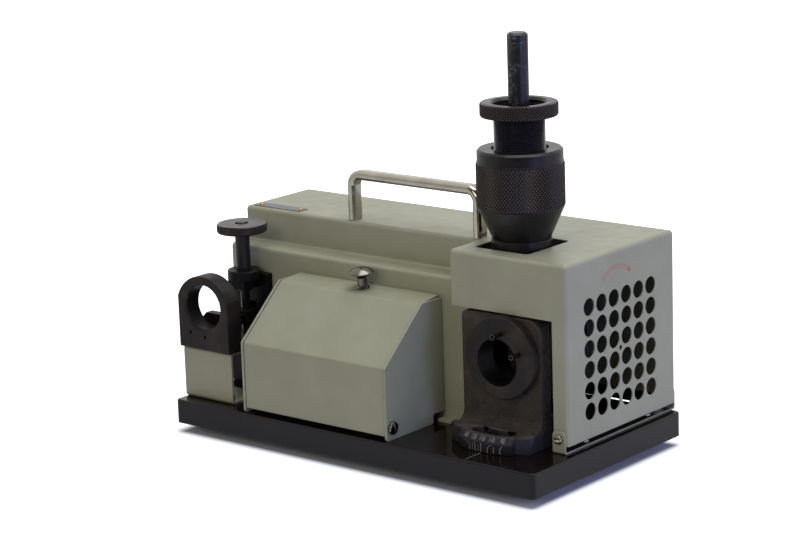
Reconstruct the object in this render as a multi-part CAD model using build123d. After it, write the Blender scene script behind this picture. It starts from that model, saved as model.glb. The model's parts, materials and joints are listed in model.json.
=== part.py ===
from build123d import *
import os
from math import cos, radians, sin, tan

# Bench grinder for twist drills of up to 20 mm, in millimetres.
# X runs along the base to the right, Y to the back and Z up.
# The origin lies on the bench, under the middle of the whole machine.

# Fits and gaps
RUN_FIT = 0.06  # radial, round a shaft or pin that turns or slides
SEAT_GAP = 0.1  # radial, round a piece that stays in its seat
SLIDE_GAP = 0.15  # between flat faces that slide on each other
PANEL_GAP = 0.5  # between neighbouring sheets

# Screws
SCREW_DIAMETER = 5.0
SCREW_LENGTH = 11.0
SCREW_HEAD_RATIO = 1.9  # head diameter over thread diameter
SCREW_HEAD_RISE = 0.6  # head height over thread diameter

# Base plate and feet
BASE_LENGTH = 452.5
BASE_DEPTH = 243.0
BASE_THICKNESS = 24.5
BASE_CORNER_RADIUS = 5.0
BASE_EDGE_RADIUS = 2.0
FOOT_HEIGHT = 10.0
FOOT_DIAMETER = 32.0
FOOT_TAPER = 2.5
FOOT_INSET = 45.0
FOOT_RECESS_DIAMETER = 15.0
FOOT_FLOOR = 4.5

# Painted sheet
SHEET = 1.5
BEND_RADIUS = 4.0

# Motor casing, bent from one sheet, with a ledge along its front
CASING_END_INSET = 133.0  # from the base's right edge
CASING_SETBACK = 95.0  # from the base's front edge
CASING_REAR_INSET = 23.0
CASING_HEIGHT = 178.7
LEDGE_DEPTH = 25.0
LEDGE_HEIGHT = 144.5
FRONT_TAB_SHIFT = 6.5  # from the collet store's right side
REAR_TAB_INSET = 50.0
TAB_WIDTH = 16.0
TAB_REACH = 10.5
TAB_THICKNESS = 3.0
END_PANEL_INSET = 7.5

# Carrying handle
HANDLE_INSET = 21.0  # from the casing's right end
HANDLE_SPAN_SHARE = 0.496  # of the casing's length
HANDLE_SETBACK = 9.0  # from the casing's upper front face
HANDLE_RISE = 50.5
HANDLE_WIDTH = 13.0
HANDLE_THICKNESS = 8.0
HANDLE_EDGE_RADIUS = 3.2
HANDLE_BEND_RADIUS = 11.0
HANDLE_THREAD_DEPTH = 12.0

# Power switch and inlet in the left end panel
SWITCH_SETBACK = 37.0  # from the casing's front
SWITCH_HEIGHT_ON_CASING = 115.0
SWITCH_WIDTH = 22.0
SWITCH_LENGTH = 30.0
SWITCH_BODY_DEPTH = 24.0
BEZEL_RIM = 1.8
BEZEL_THICKNESS = 2.0
ROCKER_TILT = 8.0
ROCKER_RISE = 1.6
ROCKER_TAPER = 0.8  # of its length, at the bezel's back
INLET_REAR_INSET = 38.0  # from the casing's back
INLET_HEIGHT_ON_CASING = 50.0
INLET_WIDTH = 28.0
INLET_LENGTH = 21.0
INLET_DEPTH = 22.0
INLET_WALL = 2.0
INLET_PIN_PITCH = 7.0

# Motor, in line with the grinding wheel
SHAFT_OFFSET = 4.5  # in front of the casing's middle
SHAFT_HEIGHT = 84.0
SHAFT_RADIUS = 7.5
MOTOR_PLATE_THICKNESS = 6.0
MOTOR_CLEARANCE = 6.0  # from the casing's front
STATOR_SHARE = 0.47  # of the casing's length
STATOR_WALL = 10.0
AIR_GAP = 0.8
FRONT_BELL_LENGTH = 46.0
REAR_BELL_LENGTH = 18.0
BELL_WALL = 8.0
BELL_CAVITY_SHARE = 0.3  # of the front bell's length
BELL_FLANGE_RADIUS = 40.0
BEARING_RADIUS = 16.0
BEARING_WIDTH = 9.0
BEARING_COVER = 5.0
CRADLE_LENGTH = 90.0
CRADLE_INSET = 18.0  # of the cradle's side from the motor's
CRADLE_FLANGE = 15.0
CRADLE_FLANGE_THICKNESS = 6.0
CRADLE_SCREW_INSET = 13.5
CAPACITOR_RADIUS = 17.5
CAPACITOR_LENGTH = 70.0
CAPACITOR_REAR_INSET = 38.0  # from the casing's back

# Grinding wheel, whose cone meets a drill of the common point angle squarely
WHEEL_RADIUS = 50.0
WHEEL_RIM = 12.0
WHEEL_CONE_LENGTH = 28.0
WHEEL_WEB = 16.0
WHEEL_RECESS_RADIUS = 26.0
WHEEL_STANDOFF = 28.0  # from the casing's right end to the wheel
POINT_ANGLE = 118.0
HUB_FLANGE_RADIUS = 24.0
HUB_FLANGE_WIDTH = 8.0
HUB_COLLAR_RADIUS = 11.0
HUB_COLLAR_WIDTH = 8.0
HUB_SPIGOT_RADIUS = 12.0
ARBOR_THREAD_RADIUS = 5.0
NUT_WIDTH = 17.0
ARBOR_SPARE = 2.0  # of the shaft beyond its nut
NUT_HEIGHT = 8.0
NUT_WASHER_RADIUS = 14.0
NUT_WASHER_THICKNESS = 2.5

# Perforated wheel cover on its tray
COVER_LAP = 8.5  # over the casing's right end
COVER_INSET = 7.5  # from the base's right edge
COVER_SETBACK = 66.0  # from the base's front edge
COVER_OVERHANG = 2.0  # behind the base
COVER_LIFT = 7.5
COVER_OPENING_HEIGHT = 126.3
COVER_LEG_WIDTH = 16.5
PERFORATION_DIAMETER = 17.0
PERFORATION_PITCH = 20.2
PERFORATION_COUNT = 6
CENTRE_HOLE_DIAMETER = 5.0
PORT_SLOT_LENGTH = 64.0
PORT_SLOT_DEPTH = 68.0
PORT_SLOT_RADIUS = 5.0
TRAY_WIDTH = 14.5
TRAY_TAB_HEIGHT = 22.5
TRAY_TAB_RADIUS = 5.0
COVER_SCREW_HEIGHT = 14.5
COVER_SCREW_INSET = 9.5
TRAY_SCREW_INSET = 38.0

# Collet store with a lid that tips forward
STORE_INSET = 90.5  # from the base's left edge
STORE_WIDTH_SHARE = 0.41  # of the base's length
STORE_SETBACK = 5.0  # from the base's front edge
STORE_HEIGHT = 123.0
STORE_FRONT_HEIGHT = 71.5
STORE_TOP_DEPTH = 30.5
STORE_SHEET = 2.5
STORE_CORNER_RADIUS = 2.0
STORE_NOTCH_DEPTH = 18.5
STORE_NOTCH_HEIGHT = 9.5
STORE_FLOOR_SETBACK = 17.0  # leaves room for the lid's lower edge to swing
LID_INSET = 0.8
LID_RISE = 3.0  # of its top, towards the back
LID_SIDE_GAP = 0.8
LID_LIFT = 4.5
LID_BEND_RADIUS = 3.0
HINGE_SETBACK = 8.0
HINGE_HEIGHT = 12.0
HINGE_PIN_RADIUS = 4.0
HINGE_HEAD_RADIUS = 6.5
HINGE_HEAD_HEIGHT = 3.5
EAR_THICKNESS = 2.0
EAR_DEPTH = 18.0
EAR_HEIGHT = 22.0
LID_KNOB_SETBACK = 13.5  # from the lid's rear edge
LID_KNOB_SHIFT = 4.5  # to the right of the lid's middle
LID_KNOB_RADIUS = 12.7
LID_KNOB_DOME = 4.5
LID_KNOB_RIM = 1.2
LID_KNOB_UNDERCUT = 5.0
LID_KNOB_HEIGHT = 21.5
LID_KNOB_NECK_RADIUS = 4.8
LID_KNOB_STUD_RADIUS = 3.0
LID_KNOB_STUD_LENGTH = 9.0
LID_KNOB_NUT_WIDTH = 10.0
LID_KNOB_NUT_HEIGHT = 5.0
RACK_MARGIN = 19.75  # beside the rack, for the screws
RACK_DEPTH = 64.0
RACK_HEIGHT = 22.0
RACK_FLOOR = 5.0
RACK_END = 3.0  # of the rack beyond its outer collets
RACK_PITCH_Y = 32.0
COLLET_BORES = (4.0, 6.0, 8.0, 10.0, 12.0, 14.0, 16.0, 18.0)

# Collets, in the store and in the chuck
COLLET_RADIUS = 15.0
COLLET_NOSE_RADIUS = 12.0
COLLET_TAPER_LENGTH = 10.0
COLLET_LENGTH = 44.0
COLLET_SLIT = 1.2
COLLET_SLIT_LENGTH = 32.0

# Sockets that take the chuck's nose
SOCKET_RADIUS = 23.0

# Setting station on the left
RING_WIDTH = 68.0
RING_ARCH_RADIUS = 36.5
RING_SETBACK = 11.0  # from the base's front edge
RING_DEPTH = 19.0
RING_BORE_HEIGHT = 44.0
RING_ARCH_DROP = 4.3  # of the arch's middle below the bore's
RING_BORE_CHAMFER = 2.0
RING_EDGE_RADIUS = 1.2
RING_NOTCH_RADIUS = 2.4
RING_NOTCH_ANGLE = 20.0
RING_HOLES = ((-18.0, -27.5), (1.8, -30.5))  # from the bore's middle
RING_HOLE_RADIUS = 1.8
RING_HOLE_DEPTH = 8.0
RING_SCREW_PITCH = 40.0
RING_SCREW_SETBACK = 6.0  # from the ring's back
BRACKET_WIDTH = 65.0
BRACKET_SETBACK = 15.0  # from the base's front edge
BRACKET_HEIGHT = 53.5
BRACKET_SHEET = 2.5
BRACKET_FLANGE = 45.0
BRACKET_SCREW_PITCH = 36.0
BRACKET_SCREW_SETBACK = 12.0
COLUMN_WIDTH = 48.0
COLUMN_SHIFT = 4.0  # of its middle, to the left of the spindle
COLUMN_CREST = 3.5  # of the column above its arm
COLUMN_FOOT_HEIGHT = 46.0
COLUMN_SCREW_REACH = 6.8
COLUMN_HOLE_SPARE = 0.8
COLUMN_DEPTH = 8.5
COLUMN_HEIGHT = 115.5
COLUMN_SCREW_INSETS = (25.0, 7.5)  # from the column's foot and its top
ARM_WIDTH = 22.0
ARM_THICKNESS = 9.5
ARM_NOSE = 12.5  # from the spindle to the arm's front
SPINDLE_REACH = 12.0  # from the column's front to the spindle
BUSH_RADIUS = 10.0
BUSH_FLANGE_RADIUS = 16.7
BUSH_FLANGE_HEIGHT = 9.5
STEM_RADIUS = 7.5
STEM_HEIGHT = 39.0  # of the stem that shows above the bush
STEM_TAIL = 2.5
SPINDLE_ROD_RADIUS = 4.5
SPINDLE_PIVOT_RADIUS = 3.0
SPINDLE_PIVOT_RISE = 4.0
SPINDLE_SPIGOT_RADIUS = 4.0
KNOB_RADIUS = 25.2
KNOB_THICKNESS = 9.0
KNOB_EDGE = 0.8
KNOB_RECESS_RADIUS = 7.0
KNOB_RECESS_DEPTH = 2.0
KNOB_WEB = 2.0
SLIDE_BOSS_RADIUS = 10.0
SLIDE_BOSS_HEIGHT = 14.0
SLIDE_HEIGHT = 15.5  # of the slide above the bracket
SLIDE_TRAVEL = 6.0
TONGUE_WIDTH = 10.0
TONGUE_DEPTH = 5.0
TONGUE_SPARE = 2.0
TONGUE_HEIGHT = 10.0
FINGER_WIDTH = 12.0
FINGER_HEIGHT = 8.0
FINGER_TIP_WIDTH = 44.0
FINGER_TIP_LENGTH = 9.0
FINGER_RISE = 6.0  # of the tip above the finger
FINGER_CORNER = 5.0
FINGER_GAP = 4.0  # behind the ring

# Swivelling socket that holds the chuck to the wheel
PIVOT_INSET = 80.7  # from the base's right edge
PIVOT_PIN_RADIUS = 8.0
PIVOT_PIN_DEPTH = 14.0
SWIVEL_WIDTH = 92.0
SWIVEL_SHIFT = 2.2  # of its middle, to the left of the pivot
SWIVEL_FOOT_THICKNESS = 16.5
SWIVEL_SCALE_RADIUS = 83.0
SCALE_RIM_DROP = 7.0
SCALE_RIM_INSET = 5.0
SWIVEL_FACET_START = 31.0
SWIVEL_FACET_DEPTH = 17.0
SWIVEL_FACET_CUT = 3.9
SWIVEL_TONGUE_WIDTH = 38.0
SWIVEL_SETBACK = 65.0  # of its face, from the base's front edge
SWIVEL_WALL = 15.0
SWIVEL_HEIGHT = 124.0
SWIVEL_CORNER_RADII = (5.0, 14.0)  # of the wall's top, on the left and on the right
SWIVEL_COVE_RADIUS = 11.0
SWIVEL_LEAST = -14.0
SWIVEL_MOST = 11.0
CLAMP_RADIUS = 66.0  # from the pivot to the clamp screw
CLAMP_SLOT_WIDTH = 17.0
CLAMP_SLOT_MARGIN = 1.5  # degrees beyond the swivel's range
CLAMP_DIAMETER = 8.0
CLAMP_SHELF = 6.5
CLAMP_WASHER_RADIUS = 8.0
CLAMP_WASHER_THICKNESS = 1.6
CLAMP_DEPTH = 16.0
CLAMP_REACH = 14.4  # of the screw into the base
CLAMP_HEAD_RADIUS = 6.0
CLAMP_HEX = 6.0
CLAMP_HEAD_SINK = 1.0  # below the scale foot's top
SOCKET_DROP = 3.0  # of the socket's bore below the wheel's axis
FLANGE_RADIUS = 40.0
FLANGE_THICKNESS = 10.0
FLANGE_RAISE = 4.5  # the flange sits off centre, above its bore
FLANGE_SHIFT = 2.8  # and to its right
FLANGE_EDGE = 1.0
SPIGOT_RADIUS = 31.5
SOCKET_PIN_RADIUS = 2.8
SOCKET_PIN_BORE = 1.3
SOCKET_PIN_LENGTH = 12.0
SOCKET_PIN_DEPTH = 3.4
SOCKET_PIN_ANGLES = (110.0, 18.0)
SOCKET_PIN_REACHES = (2.0, 5.5)  # into the bore

# Point thinning port on top, where the chuck stands
PORT_INSET = 97.0  # from the base's right edge
PORT_RISE = 6.8  # of its sleeve above the cover
PORT_SLEEVE_RADIUS = 29.0
PORT_SLEEVE_LENGTH = 42.0
PORT_PLATE_THICKNESS = 10.0
PORT_PLATE_DROP = 7.0  # below the cover
PORT_PLATE_MARGIN = 4.0
PORT_FLANGE_THICKNESS = 8.0
PORT_FLANGE_DEPTH = 50.0
PORT_FLANGE_HEIGHT = 30.0
PORT_FLANGE_START = 12.0
PORT_SCREW_DIAMETER = 6.0
PORT_SCREW_INSET = 10.0
PORT_SCREW_PITCH = 26.0

# Chuck and drill
COLLET_RECESS = 2.0  # of the collet in the nose
NOSE_LENGTH = 22.0
NOSE_GROOVE_WIDTH = 6.6
NOSE_GROOVE_DEPTH = 6.0
NOSE_GROOVE_LENGTH = 21.0
CHUCK_END_RADIUS = 28.0
CHUCK_CONE_HEIGHT = 30.0
GRIP_RADIUS = 41.6
GRIP_HEIGHT = 44.0
COLLAR_RADIUS = 41.2
COLLAR_HEIGHT = 12.5
COLLAR_EDGE = 2.0
COLLAR_RELIEF_RADIUS = 27.7
COLLAR_RELIEF_DEPTH = 2.0
TUBE_RADIUS = 25.2
TUBE_WALL = 4.5
TUBE_LIP_RADIUS = 12.0
TUBE_LIP_HEIGHT = 8.0
TUBE_SHOWN = 30.5  # of the thread between the collar and the ring
RING_NUT_RADIUS = 36.6
RING_NUT_HEIGHT = 13.6
RING_NUT_EDGE = 2.4
RING_NUT_RECESS = 5.5
DRILL_RADIUS = 10.0
DRILL_LENGTH = 254.0
DRILL_REACH = 58.0  # of the point below the chuck's seat
DRILL_END_CHAMFER = 2.0
FLUTE_LENGTH = 166.0
FLUTE_LEAD = 118.0
FLUTE_RADIUS = 7.2
FLUTE_OFFSET = 9.0

# Places that follow from the sizes above
UP = (0, 0, 1)
DOWN = (0, 0, -1)
RIGHT = (1, 0, 0)
LEFT = (-1, 0, 0)
FRONT = (0, -1, 0)
REAR = (0, 1, 0)
BASE_TOP = FOOT_HEIGHT + BASE_THICKNESS
BASE_RIGHT = BASE_LENGTH / 2
BASE_LEFT = -BASE_RIGHT
SCREW_HEAD_HEIGHT = SCREW_HEAD_RISE * SCREW_DIAMETER
SCREW_HOLE_RADIUS = SCREW_DIAMETER / 2 + SEAT_GAP
# REAR_REACH: how far the cover's rear screw stands behind the base
REAR_REACH = COVER_OVERHANG + PANEL_GAP + SHEET + SCREW_HEAD_HEIGHT
BASE_FRONT = -(BASE_DEPTH + REAR_REACH) / 2
BASE_BACK = BASE_FRONT + BASE_DEPTH
CASING_LEFT = BASE_LEFT
CASING_RIGHT = BASE_RIGHT - CASING_END_INSET
CASING_LENGTH = CASING_RIGHT - CASING_LEFT
CASING_FRONT = BASE_FRONT + CASING_SETBACK
CASING_BACK = BASE_BACK - CASING_REAR_INSET
CASING_TOP = BASE_TOP + CASING_HEIGHT
LEDGE_TOP = BASE_TOP + LEDGE_HEIGHT
CASING_UPPER_FRONT = CASING_FRONT + LEDGE_DEPTH
CASING_LINE = (
    (CASING_BACK, BASE_TOP),
    (CASING_BACK, CASING_TOP),
    (CASING_UPPER_FRONT, CASING_TOP),
    (CASING_UPPER_FRONT, LEDGE_TOP),
    (CASING_FRONT, LEDGE_TOP),
    (CASING_FRONT, BASE_TOP),
)
HANDLE_Y = CASING_UPPER_FRONT + HANDLE_SETBACK
HANDLE_RIGHT = CASING_RIGHT - HANDLE_INSET
HANDLE_FEET_X = (HANDLE_RIGHT - HANDLE_SPAN_SHARE * CASING_LENGTH, HANDLE_RIGHT)
REAR_TABS_X = (CASING_LEFT + REAR_TAB_INSET, CASING_RIGHT - REAR_TAB_INSET)
PANEL_FACE = CASING_LEFT + END_PANEL_INSET
SWITCH_Y = CASING_FRONT + SWITCH_SETBACK
SWITCH_Z = BASE_TOP + SWITCH_HEIGHT_ON_CASING
INLET_Y = CASING_BACK - INLET_REAR_INSET
INLET_Z = BASE_TOP + INLET_HEIGHT_ON_CASING
CAPACITOR_Y = CASING_BACK - CAPACITOR_REAR_INSET

SHAFT_Y = (CASING_FRONT + CASING_BACK) / 2 - SHAFT_OFFSET
SHAFT_Z = BASE_TOP + SHAFT_HEIGHT
SHAFT = Plane(origin=(0, SHAFT_Y, SHAFT_Z), z_dir=RIGHT)
MOTOR_RADIUS = SHAFT_Y - CASING_FRONT - MOTOR_CLEARANCE
CRADLE_HALF_WIDTH = MOTOR_RADIUS - CRADLE_INSET
MOTOR_PLATE_LEFT = CASING_RIGHT - MOTOR_PLATE_THICKNESS
STATOR_RIGHT = MOTOR_PLATE_LEFT - FRONT_BELL_LENGTH
STATOR_LENGTH = STATOR_SHARE * CASING_LENGTH
STATOR_LEFT = STATOR_RIGHT - STATOR_LENGTH
MOTOR_LEFT = STATOR_LEFT - REAR_BELL_LENGTH
STATOR_BORE = MOTOR_RADIUS - STATOR_WALL
BEARINGS_X = (MOTOR_LEFT + BEARING_COVER, MOTOR_PLATE_LEFT - BEARING_COVER - BEARING_WIDTH)
CRADLE_LEFT = (STATOR_LEFT + STATOR_RIGHT - CRADLE_LENGTH) / 2
WHEEL_LEFT = CASING_RIGHT + WHEEL_STANDOFF
WHEEL_WEB_RIGHT = WHEEL_LEFT + WHEEL_WEB
WHEEL_CONE_LEFT = WHEEL_LEFT + WHEEL_RIM
WHEEL_RIGHT = WHEEL_CONE_LEFT + WHEEL_CONE_LENGTH
CONE_SLOPE = tan(radians(90 - POINT_ANGLE / 2))
NUT_LEFT = WHEEL_WEB_RIGHT + NUT_WASHER_THICKNESS
ARBOR_RIGHT = NUT_LEFT + NUT_HEIGHT + ARBOR_SPARE

COVER_LEFT = CASING_RIGHT - COVER_LAP
COVER_RIGHT = BASE_RIGHT - COVER_INSET
COVER_FRONT = BASE_FRONT + COVER_SETBACK
COVER_BACK = BASE_BACK + COVER_OVERHANG
COVER_TOP = CASING_TOP + PANEL_GAP + SHEET
COVER_BOTTOM = BASE_TOP + COVER_LIFT
COVER_OPENING_TOP = BASE_TOP + COVER_OPENING_HEIGHT
COVER_LEG_LEFT = COVER_RIGHT - COVER_LEG_WIDTH
COVER_SCREW_X = COVER_RIGHT - COVER_SCREW_INSET
COVER_SCREW_Z = BASE_TOP + COVER_SCREW_HEIGHT
TRAY_FRONT = COVER_FRONT - PANEL_GAP - SHEET
TRAY_BACK = COVER_BACK + PANEL_GAP + SHEET
TRAY_LEFT = COVER_SCREW_X - TRAY_WIDTH / 2
TRAY_SCREWS_Y = (COVER_FRONT + TRAY_SCREW_INSET, COVER_BACK - TRAY_SCREW_INSET)

STORE_LEFT = BASE_LEFT + STORE_INSET
STORE_WIDTH = STORE_WIDTH_SHARE * BASE_LENGTH
STORE_RIGHT = STORE_LEFT + STORE_WIDTH
STORE_FRONT = BASE_FRONT + STORE_SETBACK
FRONT_TAB_X = STORE_RIGHT + FRONT_TAB_SHIFT
STORE_MIDDLE = STORE_LEFT + STORE_WIDTH / 2
STORE_BACK = CASING_FRONT - PANEL_GAP
STORE_TOP = BASE_TOP + STORE_HEIGHT
STORE_FLOOR = BASE_TOP + STORE_SHEET
STORE_LINE = (
    (STORE_BACK, STORE_TOP),
    (STORE_BACK - STORE_TOP_DEPTH, STORE_TOP),
    (STORE_FRONT, BASE_TOP + STORE_FRONT_HEIGHT),
    (STORE_FRONT, BASE_TOP),
)
STORE_NOTCH_Y = STORE_BACK - STORE_NOTCH_DEPTH
LID_LEFT = STORE_LEFT + STORE_SHEET + LID_SIDE_GAP
LID_RIGHT = STORE_RIGHT - STORE_SHEET - LID_SIDE_GAP
LID_TOP = STORE_TOP - LID_INSET
LID_BACK = STORE_BACK - PANEL_GAP
LID_BOTTOM = BASE_TOP + LID_LIFT
LID_FRONT = STORE_FRONT + LID_INSET
HINGE_Y = STORE_FRONT + HINGE_SETBACK
HINGE_Z = BASE_TOP + HINGE_HEIGHT
LID_REAR_TOP = LID_TOP + LID_RISE
LID_KNOB_X = STORE_MIDDLE + LID_KNOB_SHIFT
RACK_LENGTH = STORE_WIDTH - 2 * RACK_MARGIN
RACK_Y = STORE_FRONT + STORE_FLOOR_SETBACK + RACK_DEPTH / 2
RACK_TOP = STORE_FLOOR + RACK_HEIGHT

STATION_X = BASE_LEFT + RING_WIDTH / 2
BRACKET_TOP = BASE_TOP + BRACKET_HEIGHT
BRACKET_FRONT = BASE_FRONT + BRACKET_SETBACK
RING_FRONT = BASE_FRONT + RING_SETBACK
RING_BACK = RING_FRONT + RING_DEPTH
RING_Z = BRACKET_TOP + RING_BORE_HEIGHT
RING_SCREW_Y = RING_BACK - RING_SCREW_SETBACK
COLUMN_FRONT = CASING_FRONT - COLUMN_DEPTH
COLUMN_TOP = BASE_TOP + COLUMN_HEIGHT
COLUMN_SCREWS_Z = (BASE_TOP + COLUMN_SCREW_INSETS[0], COLUMN_TOP - COLUMN_SCREW_INSETS[1])
ARM_BOTTOM = COLUMN_TOP - ARM_THICKNESS
SPINDLE_Y = COLUMN_FRONT - SPINDLE_REACH
BUSH_TOP = COLUMN_TOP + BUSH_FLANGE_HEIGHT
KNOB_BOTTOM = BUSH_TOP + STEM_HEIGHT
KNOB_TOP = KNOB_BOTTOM + KNOB_THICKNESS
KNOB_SEAT = KNOB_TOP - KNOB_RECESS_DEPTH
SLIDE_BOTTOM = BRACKET_TOP + SLIDE_HEIGHT
SLIDE_MIDDLE = SLIDE_BOTTOM + SLIDE_BOSS_HEIGHT / 2

PIVOT_X = BASE_RIGHT - PIVOT_INSET
PIVOT_Y = SHAFT_Y - WHEEL_RADIUS + (PIVOT_X - WHEEL_CONE_LEFT) * CONE_SLOPE
SWIVEL_LEFT = -SWIVEL_WIDTH / 2 - SWIVEL_SHIFT  # from the pivot
SWIVEL_RIGHT = SWIVEL_LEFT + SWIVEL_WIDTH
SWIVEL_BOTTOM = BASE_TOP + SLIDE_GAP
SWIVEL_FOOT_TOP = SWIVEL_BOTTOM + SWIVEL_FOOT_THICKNESS
SWIVEL_TOP = BASE_TOP + SWIVEL_HEIGHT
SWIVEL_FACE = BASE_FRONT + SWIVEL_SETBACK
SWIVEL_FRONT = SWIVEL_FACE - PIVOT_Y  # from here on, from the pivot
SWIVEL_BACK = SWIVEL_FRONT + SWIVEL_WALL
CLAMP_SEAT = SWIVEL_BOTTOM + CLAMP_SHELF + SLIDE_GAP
SOCKET_Z = SHAFT_Z - SOCKET_DROP
FLANGE_X = PIVOT_X + FLANGE_SHIFT
FLANGE_Z = SOCKET_Z + FLANGE_RAISE
FLANGE_FACE = SWIVEL_FACE - FLANGE_THICKNESS

PORT_X = BASE_RIGHT - PORT_INSET
PORT_Y = CASING_UPPER_FRONT
PORT_SEAT = COVER_TOP + PORT_RISE
PORT_SLEEVE_BOTTOM = PORT_SEAT - PORT_SLEEVE_LENGTH
PORT_PLATE_TOP = COVER_TOP - SHEET - PORT_PLATE_DROP
PORT_PLATE_BOTTOM = PORT_PLATE_TOP - PORT_PLATE_THICKNESS
PORT_REACH = PORT_SLEEVE_RADIUS + PORT_PLATE_MARGIN
PORT_FLANGE_FRONT = CASING_UPPER_FRONT + PORT_FLANGE_START
PORT_FLANGE_BOTTOM = PORT_PLATE_TOP - PORT_FLANGE_HEIGHT
PORT_SCREW_BACK = PORT_FLANGE_FRONT + PORT_FLANGE_DEPTH - PORT_SCREW_INSET
PORT_SCREWS_Y = (PORT_SCREW_BACK - PORT_SCREW_PITCH, PORT_SCREW_BACK)
PORT_SCREW_Z = PORT_FLANGE_BOTTOM + PORT_SCREW_INSET

CHUCK = Pos(PORT_X, PORT_Y, PORT_SEAT + SLIDE_GAP)  # the chuck's own heights start at its seat
NOSE_RADIUS = SOCKET_RADIUS - RUN_FIT
GRIP_BOTTOM = CHUCK_CONE_HEIGHT
GRIP_TOP = GRIP_BOTTOM + GRIP_HEIGHT
COLLAR_TOP = GRIP_TOP + COLLAR_HEIGHT
RING_NUT_BOTTOM = COLLAR_TOP + TUBE_SHOWN
RING_NUT_TOP = RING_NUT_BOTTOM + RING_NUT_HEIGHT
TUBE_TOP = RING_NUT_TOP - RING_NUT_RECESS
COLLET_BOTTOM = -NOSE_LENGTH + COLLET_RECESS
COLLET_TOP = COLLET_BOTTOM + COLLET_LENGTH
TUBE_BOTTOM = COLLET_TOP + SLIDE_GAP
DRILL_POINT = -DRILL_REACH

FOOT_PLACES = [
    (x, y)
    for x in (BASE_LEFT + FOOT_INSET, BASE_RIGHT - FOOT_INSET)
    for y in (BASE_FRONT + FOOT_INSET, BASE_BACK - FOOT_INSET)
]
CRADLE_SCREW_REACH = CRADLE_HALF_WIDTH + CRADLE_FLANGE / 2
CRADLE_SCREWS = [
    (x, y)
    for x in (CRADLE_LEFT + CRADLE_SCREW_INSET, CRADLE_LEFT + CRADLE_LENGTH - CRADLE_SCREW_INSET)
    for y in (SHAFT_Y - CRADLE_SCREW_REACH, SHAFT_Y + CRADLE_SCREW_REACH)
]
STORE_SCREW_INSET = STORE_SHEET + (RACK_MARGIN - STORE_SHEET) / 2
STORE_SCREWS_X = (STORE_LEFT + STORE_SCREW_INSET, STORE_RIGHT - STORE_SCREW_INSET)
BRACKET_SCREW_Y = BRACKET_FRONT + BRACKET_SCREW_SETBACK
BASE_SCREWS = (
    [(x, CASING_BACK + TAB_REACH / 2, BASE_TOP + TAB_THICKNESS) for x in REAR_TABS_X]
    + [(COVER_SCREW_X, y, BASE_TOP + SHEET) for y in TRAY_SCREWS_Y]
    + [(x, RACK_Y, STORE_FLOOR) for x in STORE_SCREWS_X]
    + [(STATION_X + s * BRACKET_SCREW_PITCH / 2, BRACKET_SCREW_Y, BASE_TOP + BRACKET_SHEET) for s in (-1, 1)]
    + [(x, y, BASE_TOP + CRADLE_FLANGE_THICKNESS) for x, y in CRADLE_SCREWS]
)


# Shapes that repeat
def block(x, y, z):
    """A box between pairs of limits."""
    corner = Pos(x[0], y[0], z[0])
    return corner * Box(x[1] - x[0], y[1] - y[0], z[1] - z[0], align=(Align.MIN, Align.MIN, Align.MIN))


def bar(origin, direction, length, radius):
    """A round bar that starts at a point and runs along a direction."""
    start = Plane(origin=origin, z_dir=direction)
    return start * Cylinder(radius, length, align=(Align.CENTER, Align.CENTER, Align.MIN))


def turned(*outline):
    """A turned piece about the Z axis, from the (radius, height) corners of its section."""
    return revolve(Plane.XZ * Polygon(*outline), axis=Axis.Z)


def hexagon(width, height):
    """A hexagonal prism of a given width across its flats."""
    return extrude(RegularPolygon(width / 2, 6, major_radius=False), height)


def group(pieces):
    """Several separate solids that share one node."""
    return Compound([solid for piece in pieces for solid in piece.solids()])


def pan_screw(diameter, length):
    """A pan-head screw whose head seats at height 0 and rises along +Z."""
    rise = SCREW_HEAD_RISE * diameter
    head = Cylinder(SCREW_HEAD_RATIO * diameter / 2, rise, align=(Align.CENTER, Align.CENTER, Align.MIN))
    head = fillet(head.edges().group_by(Axis.Z)[-1], rise / 2)
    return head + bar((0, 0, 0), DOWN, length, diameter / 2)


def directions(points):
    """Unit directions of the stretches of a line."""
    return [(Vector(*b) - Vector(*a)).normalized() for a, b in zip(points, points[1:])]


def offset_line(points, distance):
    """The line moved to its left by a distance, with its corners kept sharp."""
    normals = [Vector(-d.Y, d.X) for d in directions(points)]
    befores = [normals[0]] + normals
    afters = normals + [normals[-1]]
    shifts = [(a + b) * (distance / (1 + a.dot(b))) for a, b in zip(befores, afters)]
    return [((Vector(*p) + s).X, (Vector(*p) + s).Y) for p, s in zip(points, shifts)]


def rounded_line(points, left_radius, right_radius):
    """The line with its left turns and right turns rounded by their own radii."""
    ways = directions(points)
    lefts = [a.X * b.Y > a.Y * b.X for a, b in zip(ways, ways[1:])]
    return FilletPolyline(*points, radius=[left_radius if left else right_radius for left in lefts])


def bent_sheet(points, thickness, radius):
    """The section of a sheet bent along a line, which is its outside, with the metal on its left."""
    outside = rounded_line(points, radius, radius - thickness)
    inside = rounded_line(offset_line(points, thickness), radius - thickness, radius)
    caps = [Line(outside @ 0, inside @ 0), Line(outside @ 1, inside @ 1)]
    return make_face(outside.edges() + inside.edges() + caps)


def along_x(section, start, length):
    """A (Y, Z) section drawn out along X."""
    return extrude(Plane.YZ.offset(start) * section, length)


def casing_section(inset):
    """The space inside the casing's outline, smaller all round by an inset."""
    line = offset_line(CASING_LINE, inset)
    walls = rounded_line(line, BEND_RADIUS, BEND_RADIUS)
    return make_face(walls.edges() + [Line(walls @ 1, walls @ 0)])


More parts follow.
